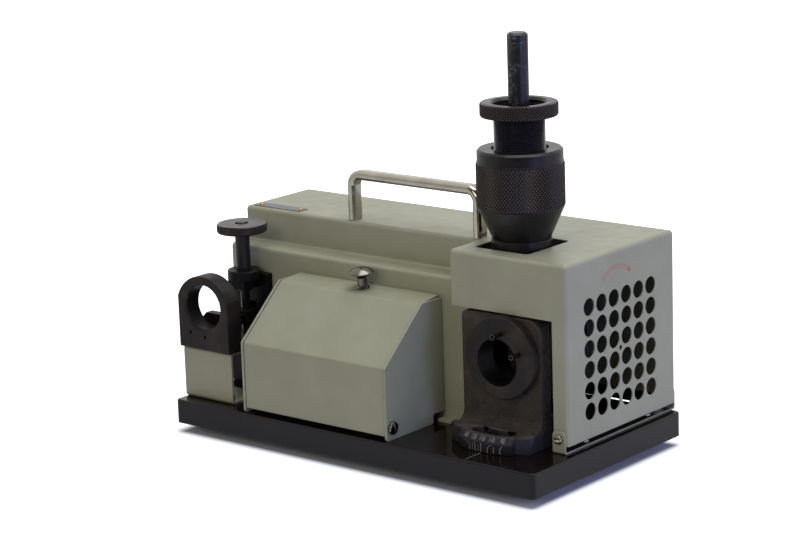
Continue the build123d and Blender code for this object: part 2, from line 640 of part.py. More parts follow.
# Base
def base_plate():
    plate = block((BASE_LEFT, BASE_RIGHT), (BASE_FRONT, BASE_BACK), (FOOT_HEIGHT, BASE_TOP))
    plate = fillet(plate.edges().filter_by(Axis.Z), BASE_CORNER_RADIUS)
    plate = fillet(plate.edges().group_by(Axis.Z)[-1], BASE_EDGE_RADIUS)
    for x, y in FOOT_PLACES:
        plate -= bar((x, y, FOOT_HEIGHT), UP, SCREW_LENGTH, SCREW_HOLE_RADIUS)
    for x, y, _ in BASE_SCREWS:
        plate -= bar((x, y, BASE_TOP), DOWN, SCREW_LENGTH, SCREW_HOLE_RADIUS)
    plate -= bar((PIVOT_X, PIVOT_Y, BASE_TOP), DOWN, PIVOT_PIN_DEPTH, PIVOT_PIN_RADIUS + SEAT_GAP)
    clamp_place = (PIVOT_X, PIVOT_Y - CLAMP_RADIUS, BASE_TOP)
    plate -= bar(clamp_place, DOWN, CLAMP_DEPTH, CLAMP_DIAMETER / 2 + SEAT_GAP)
    return plate


def rubber_feet():
    outer = FOOT_DIAMETER / 2
    recess = FOOT_RECESS_DIAMETER / 2
    foot = turned(
        (SCREW_HOLE_RADIUS, FOOT_HEIGHT),
        (outer, FOOT_HEIGHT),
        (outer - FOOT_TAPER, 0),
        (recess, 0),
        (recess, FOOT_HEIGHT - FOOT_FLOOR),
        (SCREW_HOLE_RADIUS, FOOT_HEIGHT - FOOT_FLOOR),
    )
    return group([Pos(x, y, 0) * foot for x, y in FOOT_PLACES])


def foot_screws():
    screw = pan_screw(SCREW_DIAMETER, SCREW_LENGTH)
    seat = FOOT_HEIGHT - FOOT_FLOOR
    return group([Plane(origin=(x, y, seat), z_dir=DOWN) * screw for x, y in FOOT_PLACES])


def base_screws():
    screw = pan_screw(SCREW_DIAMETER, SCREW_LENGTH)
    return group([Pos(*place) * screw for place in BASE_SCREWS])


# Motor casing
def motor_casing():
    casing = along_x(bent_sheet(CASING_LINE, SHEET, BEND_RADIUS), CASING_LEFT, CASING_LENGTH)
    tab_height = (BASE_TOP, BASE_TOP + TAB_THICKNESS)
    casing += block(
        (FRONT_TAB_X - TAB_WIDTH / 2, FRONT_TAB_X + TAB_WIDTH / 2),
        (CASING_FRONT - TAB_REACH, CASING_FRONT + SHEET / 2),
        tab_height,
    )
    for x in REAR_TABS_X:
        casing += block(
            (x - TAB_WIDTH / 2, x + TAB_WIDTH / 2), (CASING_BACK - SHEET / 2, CASING_BACK + TAB_REACH), tab_height
        )
        casing -= bar((x, CASING_BACK + TAB_REACH / 2, BASE_TOP), UP, TAB_THICKNESS, SCREW_HOLE_RADIUS)
    for x in HANDLE_FEET_X:
        casing -= bar((x, HANDLE_Y, CASING_TOP), DOWN, SHEET, SCREW_HOLE_RADIUS)
    for z in COLUMN_SCREWS_Z:
        casing -= bar((STATION_X, CASING_FRONT, z), REAR, SHEET, SCREW_HOLE_RADIUS)
    return casing


def end_panel():
    panel = along_x(casing_section(SHEET + SEAT_GAP), PANEL_FACE, SHEET)
    depth = (PANEL_FACE, PANEL_FACE + SHEET)
    for y, z, width, length in (
        (SWITCH_Y, SWITCH_Z, SWITCH_WIDTH, SWITCH_LENGTH),
        (INLET_Y, INLET_Z, INLET_WIDTH, INLET_LENGTH),
    ):
        panel -= block(depth, (y - width / 2, y + width / 2), (z - length / 2, z + length / 2))
    return panel


def panel_fitting(y, z, width, length, depth):
    """A moulded body in a panel's cut-out, with a rim outside the panel."""
    rim = BEZEL_RIM
    fitting = block(
        (PANEL_FACE - BEZEL_THICKNESS, PANEL_FACE),
        (y - width / 2 - rim, y + width / 2 + rim),
        (z - length / 2 - rim, z + length / 2 + rim),
    )
    fitting = chamfer(fitting.faces().sort_by(Axis.X)[0].edges(), BEZEL_THICKNESS / 2)
    half_width = width / 2 - SEAT_GAP
    half_length = length / 2 - SEAT_GAP
    return fitting + block(
        (PANEL_FACE, PANEL_FACE + depth), (y - half_width, y + half_width), (z - half_length, z + half_length)
    )


def switch_housing():
    body = panel_fitting(SWITCH_Y, SWITCH_Z, SWITCH_WIDTH, SWITCH_LENGTH, SWITCH_BODY_DEPTH)
    half_width = SWITCH_WIDTH / 2 - BEZEL_RIM
    half_length = SWITCH_LENGTH / 2 - BEZEL_RIM
    return body - block(
        (PANEL_FACE - BEZEL_THICKNESS, PANEL_FACE + SWITCH_BODY_DEPTH / 2),
        (SWITCH_Y - half_width, SWITCH_Y + half_width),
        (SWITCH_Z - half_length, SWITCH_Z + half_length),
    )


def switch_rocker():
    """Rocks about Y on a short cross pin, and is drawn with its lower end pressed in."""
    half_width = SWITCH_WIDTH / 2 - BEZEL_RIM - 2 * SLIDE_GAP
    half_length = SWITCH_LENGTH / 2 - BEZEL_RIM - 6 * SLIDE_GAP
    face = BEZEL_THICKNESS + ROCKER_RISE
    outline = Polygon(
        (-half_length, face),
        (-half_length * ROCKER_TAPER, 0),
        (0, -SWITCH_BODY_DEPTH / 4),
        (half_length * ROCKER_TAPER, 0),
        (half_length, face),
        (0, face - half_length * tan(radians(ROCKER_TILT))),
    )
    rocker = Pos(0, 0, -half_width) * extrude(outline, 2 * half_width)
    side = Plane(origin=(PANEL_FACE, SWITCH_Y, SWITCH_Z), x_dir=UP, z_dir=FRONT)
    return side * (Rot(0, 0, ROCKER_TILT) * rocker)


def power_inlet():
    body = panel_fitting(INLET_Y, INLET_Z, INLET_WIDTH, INLET_LENGTH, INLET_DEPTH)
    half_width = INLET_WIDTH / 2 - INLET_WALL
    half_length = INLET_LENGTH / 2 - INLET_WALL
    floor = PANEL_FACE + INLET_DEPTH - 2 * INLET_WALL
    body -= block(
        (PANEL_FACE - BEZEL_THICKNESS, floor),
        (INLET_Y - half_width, INLET_Y + half_width),
        (INLET_Z - half_length, INLET_Z + half_length),
    )
    for step, drop in ((-1, 0), (0, 1), (1, 0)):
        y = INLET_Y + step * INLET_PIN_PITCH
        z = INLET_Z - drop * INLET_WALL * 1.5
        body += block(
            (PANEL_FACE + INLET_WALL, floor + INLET_WALL),
            (y - INLET_WALL / 2, y + INLET_WALL / 2),
            (z - INLET_WALL, z + INLET_WALL),
        )
    return body


def carry_handle():
    line = HANDLE_RISE - HANDLE_THICKNESS / 2
    bow = FilletPolyline(
        (HANDLE_FEET_X[0], 0), (HANDLE_FEET_X[0], line), (HANDLE_FEET_X[1], line), (HANDLE_FEET_X[1], 0),
        radius=HANDLE_BEND_RADIUS,
    )
    bow = Plane(origin=(0, HANDLE_Y, CASING_TOP), x_dir=RIGHT, z_dir=FRONT) * bow
    section = RectangleRounded(HANDLE_WIDTH, HANDLE_THICKNESS, HANDLE_EDGE_RADIUS)
    handle = sweep(Plane(origin=bow @ 0, x_dir=REAR, z_dir=UP) * section, path=bow)
    for x in HANDLE_FEET_X:
        handle -= bar((x, HANDLE_Y, CASING_TOP), UP, HANDLE_THREAD_DEPTH, SCREW_HOLE_RADIUS)
    return handle


def handle_screws():
    screw = pan_screw(SCREW_DIAMETER, SCREW_LENGTH)
    seat = CASING_TOP - SHEET
    return group([Plane(origin=(x, HANDLE_Y, seat), z_dir=DOWN) * screw for x in HANDLE_FEET_X])


# Motor and wheel
def motor_plate():
    plate = along_x(casing_section(SHEET + SEAT_GAP), MOTOR_PLATE_LEFT, MOTOR_PLATE_THICKNESS)
    plate -= bar((MOTOR_PLATE_LEFT, SHAFT_Y, SHAFT_Z), RIGHT, MOTOR_PLATE_THICKNESS, BEARING_RADIUS)
    for y in PORT_SCREWS_Y:
        hole = PORT_SCREW_DIAMETER / 2 + SEAT_GAP
        plate -= bar((MOTOR_PLATE_LEFT, y, PORT_SCREW_Z), RIGHT, MOTOR_PLATE_THICKNESS, hole)
    return plate


def motor_stator():
    return SHAFT * turned(
        (STATOR_BORE, STATOR_LEFT),
        (MOTOR_RADIUS, STATOR_LEFT),
        (MOTOR_RADIUS, STATOR_RIGHT),
        (STATOR_BORE, STATOR_RIGHT),
    )


def front_bell():
    seat = BEARING_RADIUS + SEAT_GAP
    cavity = STATOR_RIGHT + FRONT_BELL_LENGTH * BELL_CAVITY_SHARE
    return SHAFT * turned(
        (MOTOR_RADIUS, STATOR_RIGHT),
        (MOTOR_RADIUS, cavity + BELL_WALL / 2),
        (BELL_FLANGE_RADIUS, MOTOR_PLATE_LEFT - BELL_WALL),
        (BELL_FLANGE_RADIUS, MOTOR_PLATE_LEFT),
        (SHAFT_RADIUS + BEARING_COVER / 2, MOTOR_PLATE_LEFT),
        (SHAFT_RADIUS + BEARING_COVER / 2, MOTOR_PLATE_LEFT - BEARING_COVER),
        (seat, MOTOR_PLATE_LEFT - BEARING_COVER),
        (seat, cavity),
        (MOTOR_RADIUS - BELL_WALL, cavity),
        (MOTOR_RADIUS - BELL_WALL, STATOR_RIGHT),
    )


def rear_bell():
    seat = BEARING_RADIUS + SEAT_GAP
    shoulder = STATOR_LEFT - BELL_WALL / 2
    return SHAFT * turned(
        (0, MOTOR_LEFT),
        (MOTOR_RADIUS - BELL_WALL / 2, MOTOR_LEFT),
        (MOTOR_RADIUS, MOTOR_LEFT + BELL_WALL / 2),
        (MOTOR_RADIUS, STATOR_LEFT),
        (MOTOR_RADIUS - BELL_WALL, STATOR_LEFT),
        (MOTOR_RADIUS - BELL_WALL, shoulder),
        (seat, shoulder),
        (seat, MOTOR_LEFT + BEARING_COVER),
        (0, MOTOR_LEFT + BEARING_COVER),
    )


def motor_bearings():
    bore = SHAFT_RADIUS + RUN_FIT
    ring = turned((bore, 0), (BEARING_RADIUS, 0), (BEARING_RADIUS, BEARING_WIDTH), (bore, BEARING_WIDTH))
    return group([SHAFT * (Pos(0, 0, x) * ring) for x in BEARINGS_X])


def motor_cradle():
    length = (CRADLE_LEFT, CRADLE_LEFT + CRADLE_LENGTH)
    wide = CRADLE_HALF_WIDTH + CRADLE_FLANGE
    cradle = block(length, (SHAFT_Y - CRADLE_HALF_WIDTH, SHAFT_Y + CRADLE_HALF_WIDTH), (BASE_TOP, SHAFT_Z))
    cradle -= bar((CRADLE_LEFT, SHAFT_Y, SHAFT_Z), RIGHT, CRADLE_LENGTH, MOTOR_RADIUS + SEAT_GAP)
    cradle += block(length, (SHAFT_Y - wide, SHAFT_Y + wide), (BASE_TOP, BASE_TOP + CRADLE_FLANGE_THICKNESS))
    for x, y in CRADLE_SCREWS:
        cradle -= bar((x, y, BASE_TOP), UP, CRADLE_FLANGE_THICKNESS, SCREW_HOLE_RADIUS)
    return cradle


def run_capacitor():
    left = PANEL_FACE + SHEET + SWITCH_BODY_DEPTH
    can = bar((left, CAPACITOR_Y, BASE_TOP + CAPACITOR_RADIUS + SEAT_GAP), RIGHT, CAPACITOR_LENGTH, CAPACITOR_RADIUS)
    return fillet(can.edges().filter_by(GeomType.CIRCLE), CAPACITOR_RADIUS / 8)


def rotor_shaft():
    core = STATOR_BORE - AIR_GAP
    core_inset = STATOR_LENGTH / 15
    return SHAFT * turned(
        (0, BEARINGS_X[0] + SLIDE_GAP),
        (SHAFT_RADIUS, BEARINGS_X[0] + SLIDE_GAP),
        (SHAFT_RADIUS, STATOR_LEFT + core_inset),
        (core, STATOR_LEFT + core_inset),
        (core, STATOR_RIGHT - core_inset),
        (SHAFT_RADIUS, STATOR_RIGHT - core_inset),
        (SHAFT_RADIUS, WHEEL_WEB_RIGHT),
        (ARBOR_THREAD_RADIUS, WHEEL_WEB_RIGHT),
        (ARBOR_THREAD_RADIUS, ARBOR_RIGHT),
        (0, ARBOR_RIGHT),
    )


def wheel_hub():
    bore = SHAFT_RADIUS + SEAT_GAP
    flange_left = WHEEL_LEFT - HUB_FLANGE_WIDTH
    return SHAFT * turned(
        (bore, flange_left - HUB_COLLAR_WIDTH),
        (HUB_COLLAR_RADIUS, flange_left - HUB_COLLAR_WIDTH),
        (HUB_COLLAR_RADIUS, flange_left),
        (HUB_FLANGE_RADIUS, flange_left),
        (HUB_FLANGE_RADIUS, WHEEL_LEFT),
        (HUB_SPIGOT_RADIUS, WHEEL_LEFT),
        (HUB_SPIGOT_RADIUS, WHEEL_WEB_RIGHT),
        (bore, WHEEL_WEB_RIGHT),
    )


def grinding_wheel():
    bore = HUB_SPIGOT_RADIUS + SEAT_GAP
    return SHAFT * turned(
        (bore, WHEEL_LEFT),
        (WHEEL_RADIUS, WHEEL_LEFT),
        (WHEEL_RADIUS, WHEEL_CONE_LEFT),
        (WHEEL_RADIUS - WHEEL_CONE_LENGTH * CONE_SLOPE, WHEEL_RIGHT),
        (WHEEL_RECESS_RADIUS, WHEEL_RIGHT),
        (WHEEL_RECESS_RADIUS, WHEEL_WEB_RIGHT),
        (bore, WHEEL_WEB_RIGHT),
    )


def wheel_nut():
    bore = ARBOR_THREAD_RADIUS + SEAT_GAP
    washer = bar((0, 0, WHEEL_WEB_RIGHT), UP, NUT_WASHER_THICKNESS, NUT_WASHER_RADIUS)
    nut = washer + Pos(0, 0, NUT_LEFT) * hexagon(NUT_WIDTH, NUT_HEIGHT)
    return SHAFT * (nut - bar((0, 0, WHEEL_WEB_RIGHT), UP, NUT_WASHER_THICKNESS + NUT_HEIGHT, bore))


# Wheel cover
def hood(inset):
    """The cover's rounded box, smaller by an inset, and running out past its open sides."""
    spare = 2 * BEND_RADIUS
    low_x = COVER_LEFT - spare
    low_z = COVER_BOTTOM - spare
    box = block(
        (low_x, COVER_RIGHT - inset), (COVER_FRONT + inset, COVER_BACK - inset), (low_z, COVER_TOP - inset)
    )
    closed = [e for e in box.edges() if e.center().X > low_x + spare / 2 and e.center().Z > low_z + spare / 2]
    return fillet(closed, BEND_RADIUS - inset)


def cover_return():
    """Left wall of the cover, cut out round the casing and open beside the swivelling socket."""
    wall = (COVER_LEFT, COVER_LEFT + SHEET)
    side = hood(0) & block(wall, (COVER_FRONT, COVER_BACK), (COVER_BOTTOM, COVER_TOP))
    side -= along_x(casing_section(-PANEL_GAP), COVER_LEFT, SHEET)
    return side - block(wall, (COVER_FRONT, CASING_FRONT), (COVER_BOTTOM, COVER_OPENING_TOP))


def wheel_cover():
    spare = 3 * BEND_RADIUS
    depth = (COVER_FRONT - spare, COVER_BACK + spare)
    cover = hood(0) - hood(SHEET) + cover_return()
    cover -= block((COVER_LEFT - spare, COVER_LEFT), depth, (COVER_BOTTOM - spare, COVER_TOP + spare))
    cover -= block((COVER_LEFT - spare, COVER_RIGHT + spare), depth, (COVER_BOTTOM - spare, COVER_BOTTOM))
    cover -= block(
        (COVER_LEFT - spare, COVER_LEG_LEFT),
        (COVER_FRONT - spare, COVER_FRONT + SHEET + BEND_RADIUS),
        (COVER_BOTTOM - spare, COVER_OPENING_TOP),
    )
    slot = extrude(RectangleRounded(PORT_SLOT_LENGTH, PORT_SLOT_DEPTH, PORT_SLOT_RADIUS), 2 * SHEET)
    cover -= Pos(PORT_X, PORT_Y, COVER_TOP - 1.5 * SHEET) * slot
    holes = [
        bar((COVER_RIGHT - 1.5 * SHEET, SHAFT_Y + y, SHAFT_Z + z), RIGHT, 2 * SHEET, PERFORATION_DIAMETER / 2)
        for y in perforation_steps()
        for z in perforation_steps()
    ]
    cover -= holes
    cover -= bar((COVER_RIGHT - 1.5 * SHEET, SHAFT_Y, SHAFT_Z), RIGHT, 2 * SHEET, CENTRE_HOLE_DIAMETER / 2)
    cover -= bar((COVER_SCREW_X, COVER_FRONT, COVER_SCREW_Z), REAR, SHEET, SCREW_HOLE_RADIUS)
    cover -= bar((COVER_SCREW_X, COVER_BACK, COVER_SCREW_Z), FRONT, SHEET, SCREW_HOLE_RADIUS)
    return cover


def perforation_steps():
    middle = (PERFORATION_COUNT - 1) / 2
    return [(i - middle) * PERFORATION_PITCH for i in range(PERFORATION_COUNT)]


def cover_tray():
    tab_top = BASE_TOP + TRAY_TAB_HEIGHT
    line = ((TRAY_FRONT, tab_top), (TRAY_FRONT, BASE_TOP), (TRAY_BACK, BASE_TOP), (TRAY_BACK, tab_top))
    tray = along_x(bent_sheet(line, SHEET, BEND_RADIUS - SHEET), TRAY_LEFT, TRAY_WIDTH)
    corners = tray.edges().filter_by(Axis.Y).group_by(Axis.Z)[-1]
    tray = fillet(corners, TRAY_TAB_RADIUS)
    tray -= bar((COVER_SCREW_X, TRAY_FRONT, COVER_SCREW_Z), REAR, TRAY_BACK - TRAY_FRONT, SCREW_HOLE_RADIUS)
    for y in TRAY_SCREWS_Y:
        tray -= bar((COVER_SCREW_X, y, BASE_TOP), UP, SHEET, SCREW_HOLE_RADIUS)
    return tray


def cover_screws():
    screw = pan_screw(SCREW_DIAMETER, SCREW_LENGTH)
    front = Plane(origin=(COVER_SCREW_X, TRAY_FRONT, COVER_SCREW_Z), z_dir=FRONT)
    back = Plane(origin=(COVER_SCREW_X, TRAY_BACK, COVER_SCREW_Z), z_dir=REAR)
    return group([front * screw, back * screw])


# Collet store
def storage_box():
    outline = list(STORE_LINE) + [
        (STORE_NOTCH_Y, BASE_TOP),
        (STORE_NOTCH_Y, BASE_TOP + STORE_NOTCH_HEIGHT),
        (STORE_BACK, BASE_TOP + STORE_NOTCH_HEIGHT),
    ]
    side = make_face(FilletPolyline(*outline, radius=STORE_CORNER_RADIUS, close=True))
    box = block(
        (STORE_LEFT + STORE_SHEET / 2, STORE_RIGHT - STORE_SHEET / 2),
        (STORE_FRONT + STORE_FLOOR_SETBACK, STORE_NOTCH_Y - STORE_CORNER_RADIUS),
        (BASE_TOP, STORE_FLOOR),
    )
    for start in (STORE_LEFT, STORE_RIGHT - STORE_SHEET):
        box += along_x(side, start, STORE_SHEET)
    box -= bar((STORE_LEFT, HINGE_Y, HINGE_Z), RIGHT, STORE_WIDTH, HINGE_PIN_RADIUS + SEAT_GAP)
    for x in STORE_SCREWS_X:
        box -= bar((x, RACK_Y, BASE_TOP), UP, STORE_SHEET, SCREW_HOLE_RADIUS)
    return box


def storage_lid():
    line = offset_line(STORE_LINE, LID_INSET)
    line = [(LID_BACK, LID_REAR_TOP)] + line[1:-1] + [(LID_FRONT, LID_BOTTOM)]
    lid = along_x(bent_sheet(line, SHEET, LID_BEND_RADIUS), LID_LEFT, LID_RIGHT - LID_LEFT)
    for start in (LID_LEFT, LID_RIGHT - EAR_THICKNESS):
        ear = block(
            (start, start + EAR_THICKNESS),
            (LID_FRONT + SHEET / 2, LID_FRONT + EAR_DEPTH),
            (LID_BOTTOM, LID_BOTTOM + EAR_HEIGHT),
        )
        corner = ear.edges().filter_by(Axis.X).sort_by(Axis.Y)[-2:]
        lid += fillet(corner, EAR_DEPTH / 4)
    lid -= bar((LID_LEFT, HINGE_Y, HINGE_Z), RIGHT, LID_RIGHT - LID_LEFT, HINGE_PIN_RADIUS + RUN_FIT)
    hole = bar((0, 0, -2 * SHEET), UP, 3 * SHEET, LID_KNOB_STUD_RADIUS + SEAT_GAP)
    return lid - lid_knob_place() * hole


def lid_knob_place():
    """The plane of the lid's sloping top at the knob, with Z out of the lid."""
    bend_y = offset_line(STORE_LINE, LID_INSET)[1][0]
    slope = LID_RISE / (LID_BACK - bend_y)
    y = LID_BACK - LID_KNOB_SETBACK
    return Plane(origin=(LID_KNOB_X, y, LID_REAR_TOP - LID_KNOB_SETBACK * slope), z_dir=(0, -slope, 1))


def lid_pins():
    shank = STORE_SHEET + LID_SIDE_GAP + EAR_THICKNESS * 2
    head = Cylinder(HINGE_HEAD_RADIUS, HINGE_HEAD_HEIGHT, align=(Align.CENTER, Align.CENTER, Align.MIN))
    pin = fillet(head.edges().group_by(Axis.Z)[-1], HINGE_HEAD_HEIGHT / 2)
    pin += bar((0, 0, 0), DOWN, shank, HINGE_PIN_RADIUS)
    left = Plane(origin=(STORE_LEFT, HINGE_Y, HINGE_Z), z_dir=LEFT)
    right = Plane(origin=(STORE_RIGHT, HINGE_Y, HINGE_Z), z_dir=RIGHT)
    return group([left * pin, right * pin])


def lid_knob():
    """A mushroom knob on a flanged neck, with a stud below."""
    rim_top = LID_KNOB_HEIGHT - LID_KNOB_DOME
    rim_bottom = rim_top - LID_KNOB_RIM
    foot_radius = LID_KNOB_NECK_RADIUS * 1.4
    knob = turned(
        (0, -LID_KNOB_STUD_LENGTH),
        (LID_KNOB_STUD_RADIUS, -LID_KNOB_STUD_LENGTH),
        (LID_KNOB_STUD_RADIUS, 0),
        (foot_radius, 0),
        (foot_radius, LID_KNOB_RIM),
        (LID_KNOB_NECK_RADIUS, LID_KNOB_RIM * 2),
        (LID_KNOB_NECK_RADIUS, rim_bottom - LID_KNOB_UNDERCUT),
        (LID_KNOB_RADIUS - LID_KNOB_RIM, rim_bottom),
        (LID_KNOB_RADIUS, rim_bottom + LID_KNOB_RIM / 2),
        (LID_KNOB_RADIUS, LID_KNOB_HEIGHT),
        (0, LID_KNOB_HEIGHT),
    )
    dome_radius = (LID_KNOB_RADIUS**2 + LID_KNOB_DOME**2) / (2 * LID_KNOB_DOME)
    return lid_knob_place() * (knob & Pos(0, 0, LID_KNOB_HEIGHT - dome_radius) * Sphere(dome_radius))


def lid_knob_nut():
    nut = hexagon(LID_KNOB_NUT_WIDTH, LID_KNOB_NUT_HEIGHT)
    nut -= bar((0, 0, 0), UP, LID_KNOB_NUT_HEIGHT, LID_KNOB_STUD_RADIUS + SEAT_GAP)
    return lid_knob_place() * (Pos(0, 0, -SHEET - LID_KNOB_NUT_HEIGHT) * nut)


def rack_places():
    rows = 2
    columns = len(COLLET_BORES) // rows
    pitch = (RACK_LENGTH - 2 * (COLLET_RADIUS + RACK_END)) / (columns - 1)
    return [
        (
            STORE_MIDDLE + (i % columns - (columns - 1) / 2) * pitch,
            RACK_Y + (i // columns - (rows - 1) / 2) * RACK_PITCH_Y,
        )
        for i in range(len(COLLET_BORES))
    ]


def collet_rack():
    rack = block(
        (STORE_MIDDLE - RACK_LENGTH / 2, STORE_MIDDLE + RACK_LENGTH / 2),
        (RACK_Y - RACK_DEPTH / 2, RACK_Y + RACK_DEPTH / 2),
        (STORE_FLOOR, RACK_TOP),
    )
    for x, y in rack_places():
        rack -= bar((x, y, STORE_FLOOR + RACK_FLOOR), UP, RACK_HEIGHT, COLLET_RADIUS + SEAT_GAP)
    return rack


def collet(bore):
    """A collet standing on its tapered nose, slit from the nose upwards."""
    body = turned(
        (bore, 0),
        (max(COLLET_NOSE_RADIUS, bore + SHEET), 0),
        (COLLET_RADIUS, COLLET_TAPER_LENGTH),
        (COLLET_RADIUS, COLLET_LENGTH),
        (bore, COLLET_LENGTH),
    )
    slit = block((-COLLET_RADIUS, COLLET_RADIUS), (-COLLET_SLIT / 2, COLLET_SLIT / 2), (0, COLLET_SLIT_LENGTH))
    return body - slit - Rot(0, 0, 90) * slit


def collets():
    floor = STORE_FLOOR + RACK_FLOOR
    return group([Pos(x, y, floor) * collet(bore / 2) for (x, y), bore in zip(rack_places(), COLLET_BORES)])


# Setting station
def setting_bracket():
    line = (
        (COLUMN_FRONT - PANEL_GAP, BRACKET_TOP),
        (BRACKET_FRONT, BRACKET_TOP),
        (BRACKET_FRONT, BASE_TOP),
        (BRACKET_FRONT + BRACKET_FLANGE, BASE_TOP),
    )
    bracket = along_x(
        bent_sheet(line, BRACKET_SHEET, BEND_RADIUS), STATION_X - BRACKET_WIDTH / 2, BRACKET_WIDTH
    )
    for side in (-1, 1):
        x = STATION_X + side * RING_SCREW_PITCH / 2
        bracket -= bar((x, RING_SCREW_Y, BRACKET_TOP), DOWN, BRACKET_SHEET, SCREW_HOLE_RADIUS)
        x = STATION_X + side * BRACKET_SCREW_PITCH / 2
        bracket -= bar((x, BRACKET_SCREW_Y, BASE_TOP), UP, BRACKET_SHEET, SCREW_HOLE_RADIUS)
    pivot_radius = SPINDLE_PIVOT_RADIUS + RUN_FIT
    return bracket - bar((STATION_X, SPINDLE_Y, BRACKET_TOP), DOWN, BRACKET_SHEET, pivot_radius)


def setting_ring():
    base_drop = RING_BORE_HEIGHT - RING_ARCH_DROP
    arch = Circle(RING_ARCH_RADIUS) + Pos(0, -base_drop / 2) * Rectangle(RING_WIDTH, base_drop)
    arch &= Pos(0, (RING_ARCH_RADIUS - base_drop) / 2) * Rectangle(RING_WIDTH, RING_ARCH_RADIUS + base_drop)
    outline = Pos(0, -RING_ARCH_DROP) * arch
    notch = (SOCKET_RADIUS * cos(radians(RING_NOTCH_ANGLE)), SOCKET_RADIUS * sin(radians(RING_NOTCH_ANGLE)))
    outline -= Circle(SOCKET_RADIUS) + Pos(*notch) * Circle(RING_NOTCH_RADIUS)
    place = Plane(origin=(STATION_X, RING_BACK, RING_Z), x_dir=RIGHT, z_dir=FRONT)
    ring = extrude(place * outline, RING_DEPTH)
    front_edges = ring.faces().sort_by(Axis.Y)[0].outer_wire().edges()
    ring = fillet(front_edges, RING_EDGE_RADIUS)
    flare = turned(
        (0, 0),
        (SOCKET_RADIUS + RING_BORE_CHAMFER, 0),
        (SOCKET_RADIUS, RING_BORE_CHAMFER),
        (0, RING_BORE_CHAMFER),
    )
    ring -= Plane(origin=(STATION_X, RING_FRONT, RING_Z), z_dir=REAR) * flare
    for x, z in RING_HOLES:
        ring -= bar((STATION_X + x, RING_FRONT, RING_Z + z), REAR, RING_HOLE_DEPTH, RING_HOLE_RADIUS)
    for side in (-1, 1):
        x = STATION_X + side * RING_SCREW_PITCH / 2
        ring -= bar((x, RING_SCREW_Y, BRACKET_TOP), UP, SCREW_LENGTH, SCREW_HOLE_RADIUS)
    return ring


def ring_screws():
    screw = pan_screw(SCREW_DIAMETER, SCREW_LENGTH)
    seat = BRACKET_TOP - BRACKET_SHEET
    places = [(STATION_X + side * RING_SCREW_PITCH / 2, RING_SCREW_Y, seat) for side in (-1, 1)]
    return group([Plane(origin=place, z_dir=DOWN) * screw for place in places])


def setting_column():
    middle = STATION_X - COLUMN_SHIFT
    column = block(
        (middle - COLUMN_WIDTH / 2, middle + COLUMN_WIDTH / 2),
        (COLUMN_FRONT, CASING_FRONT),
        (BASE_TOP, COLUMN_TOP + COLUMN_CREST),
    )
    column += block(
        (CASING_LEFT + PANEL_GAP, STATION_X + BRACKET_WIDTH / 2),
        (COLUMN_FRONT, CASING_FRONT),
        (BASE_TOP, BASE_TOP + COLUMN_FOOT_HEIGHT),
    )
    column -= bar((STATION_X, SPINDLE_Y, COLUMN_TOP), UP, COLUMN_CREST, BUSH_FLANGE_RADIUS + PANEL_GAP)
    arm = block(
        (STATION_X - ARM_WIDTH / 2, STATION_X + ARM_WIDTH / 2),
        (SPINDLE_Y - ARM_NOSE, COLUMN_FRONT),
        (ARM_BOTTOM, COLUMN_TOP),
    )
    column += arm
    column -= bar((STATION_X, SPINDLE_Y, ARM_BOTTOM), UP, ARM_THICKNESS, BUSH_RADIUS + SEAT_GAP)
    half = TONGUE_WIDTH / 2 + SLIDE_GAP
    spare = TONGUE_HEIGHT / 2 + SLIDE_TRAVEL + TONGUE_SPARE
    column -= block(
        (STATION_X - half, STATION_X + half),
        (COLUMN_FRONT, COLUMN_FRONT + TONGUE_DEPTH + SLIDE_GAP),
        (SLIDE_MIDDLE - spare, SLIDE_MIDDLE + spare),
    )
    for z in COLUMN_SCREWS_Z:
        column -= bar(
            (STATION_X, CASING_FRONT, z), FRONT, COLUMN_SCREW_REACH + COLUMN_HOLE_SPARE, SCREW_HOLE_RADIUS
        )
    return column


def column_screws():
    screw = pan_screw(SCREW_DIAMETER, SHEET + COLUMN_SCREW_REACH)
    places = [(STATION_X, CASING_FRONT + SHEET, z) for z in COLUMN_SCREWS_Z]
    return group([Plane(origin=place, z_dir=REAR) * screw for place in places])


def setting_bush():
    bore = STEM_RADIUS + RUN_FIT
    edge = BUSH_FLANGE_HEIGHT / 10
    bush = turned(
        (bore, ARM_BOTTOM),
        (BUSH_RADIUS, ARM_BOTTOM),
        (BUSH_RADIUS, COLUMN_TOP),
        (BUSH_FLANGE_RADIUS, COLUMN_TOP),
        (BUSH_FLANGE_RADIUS, BUSH_TOP - edge),
        (BUSH_FLANGE_RADIUS - edge, BUSH_TOP),
        (bore, BUSH_TOP),
    )
    return Pos(STATION_X, SPINDLE_Y, 0) * bush


def setting_spindle():
    """Stem, screwed rod and lower pivot, with a tapped end for the knob."""
    rod_bottom = BRACKET_TOP + SPINDLE_PIVOT_RISE
    spigot_top = KNOB_SEAT - KNOB_WEB
    spindle = turned(
        (0, BRACKET_TOP - BRACKET_SHEET),
        (SPINDLE_PIVOT_RADIUS, BRACKET_TOP - BRACKET_SHEET),
        (SPINDLE_PIVOT_RADIUS, rod_bottom),
        (SPINDLE_ROD_RADIUS, rod_bottom),
        (SPINDLE_ROD_RADIUS, ARM_BOTTOM - STEM_TAIL),
        (STEM_RADIUS, ARM_BOTTOM - STEM_TAIL),
        (STEM_RADIUS, KNOB_BOTTOM),
        (SPINDLE_SPIGOT_RADIUS, KNOB_BOTTOM),
        (SPINDLE_SPIGOT_RADIUS, spigot_top),
        (0, spigot_top),
    )
    spindle -= bar((0, 0, spigot_top), DOWN, SCREW_LENGTH, SCREW_HOLE_RADIUS)
    return Pos(STATION_X, SPINDLE_Y, 0) * spindle


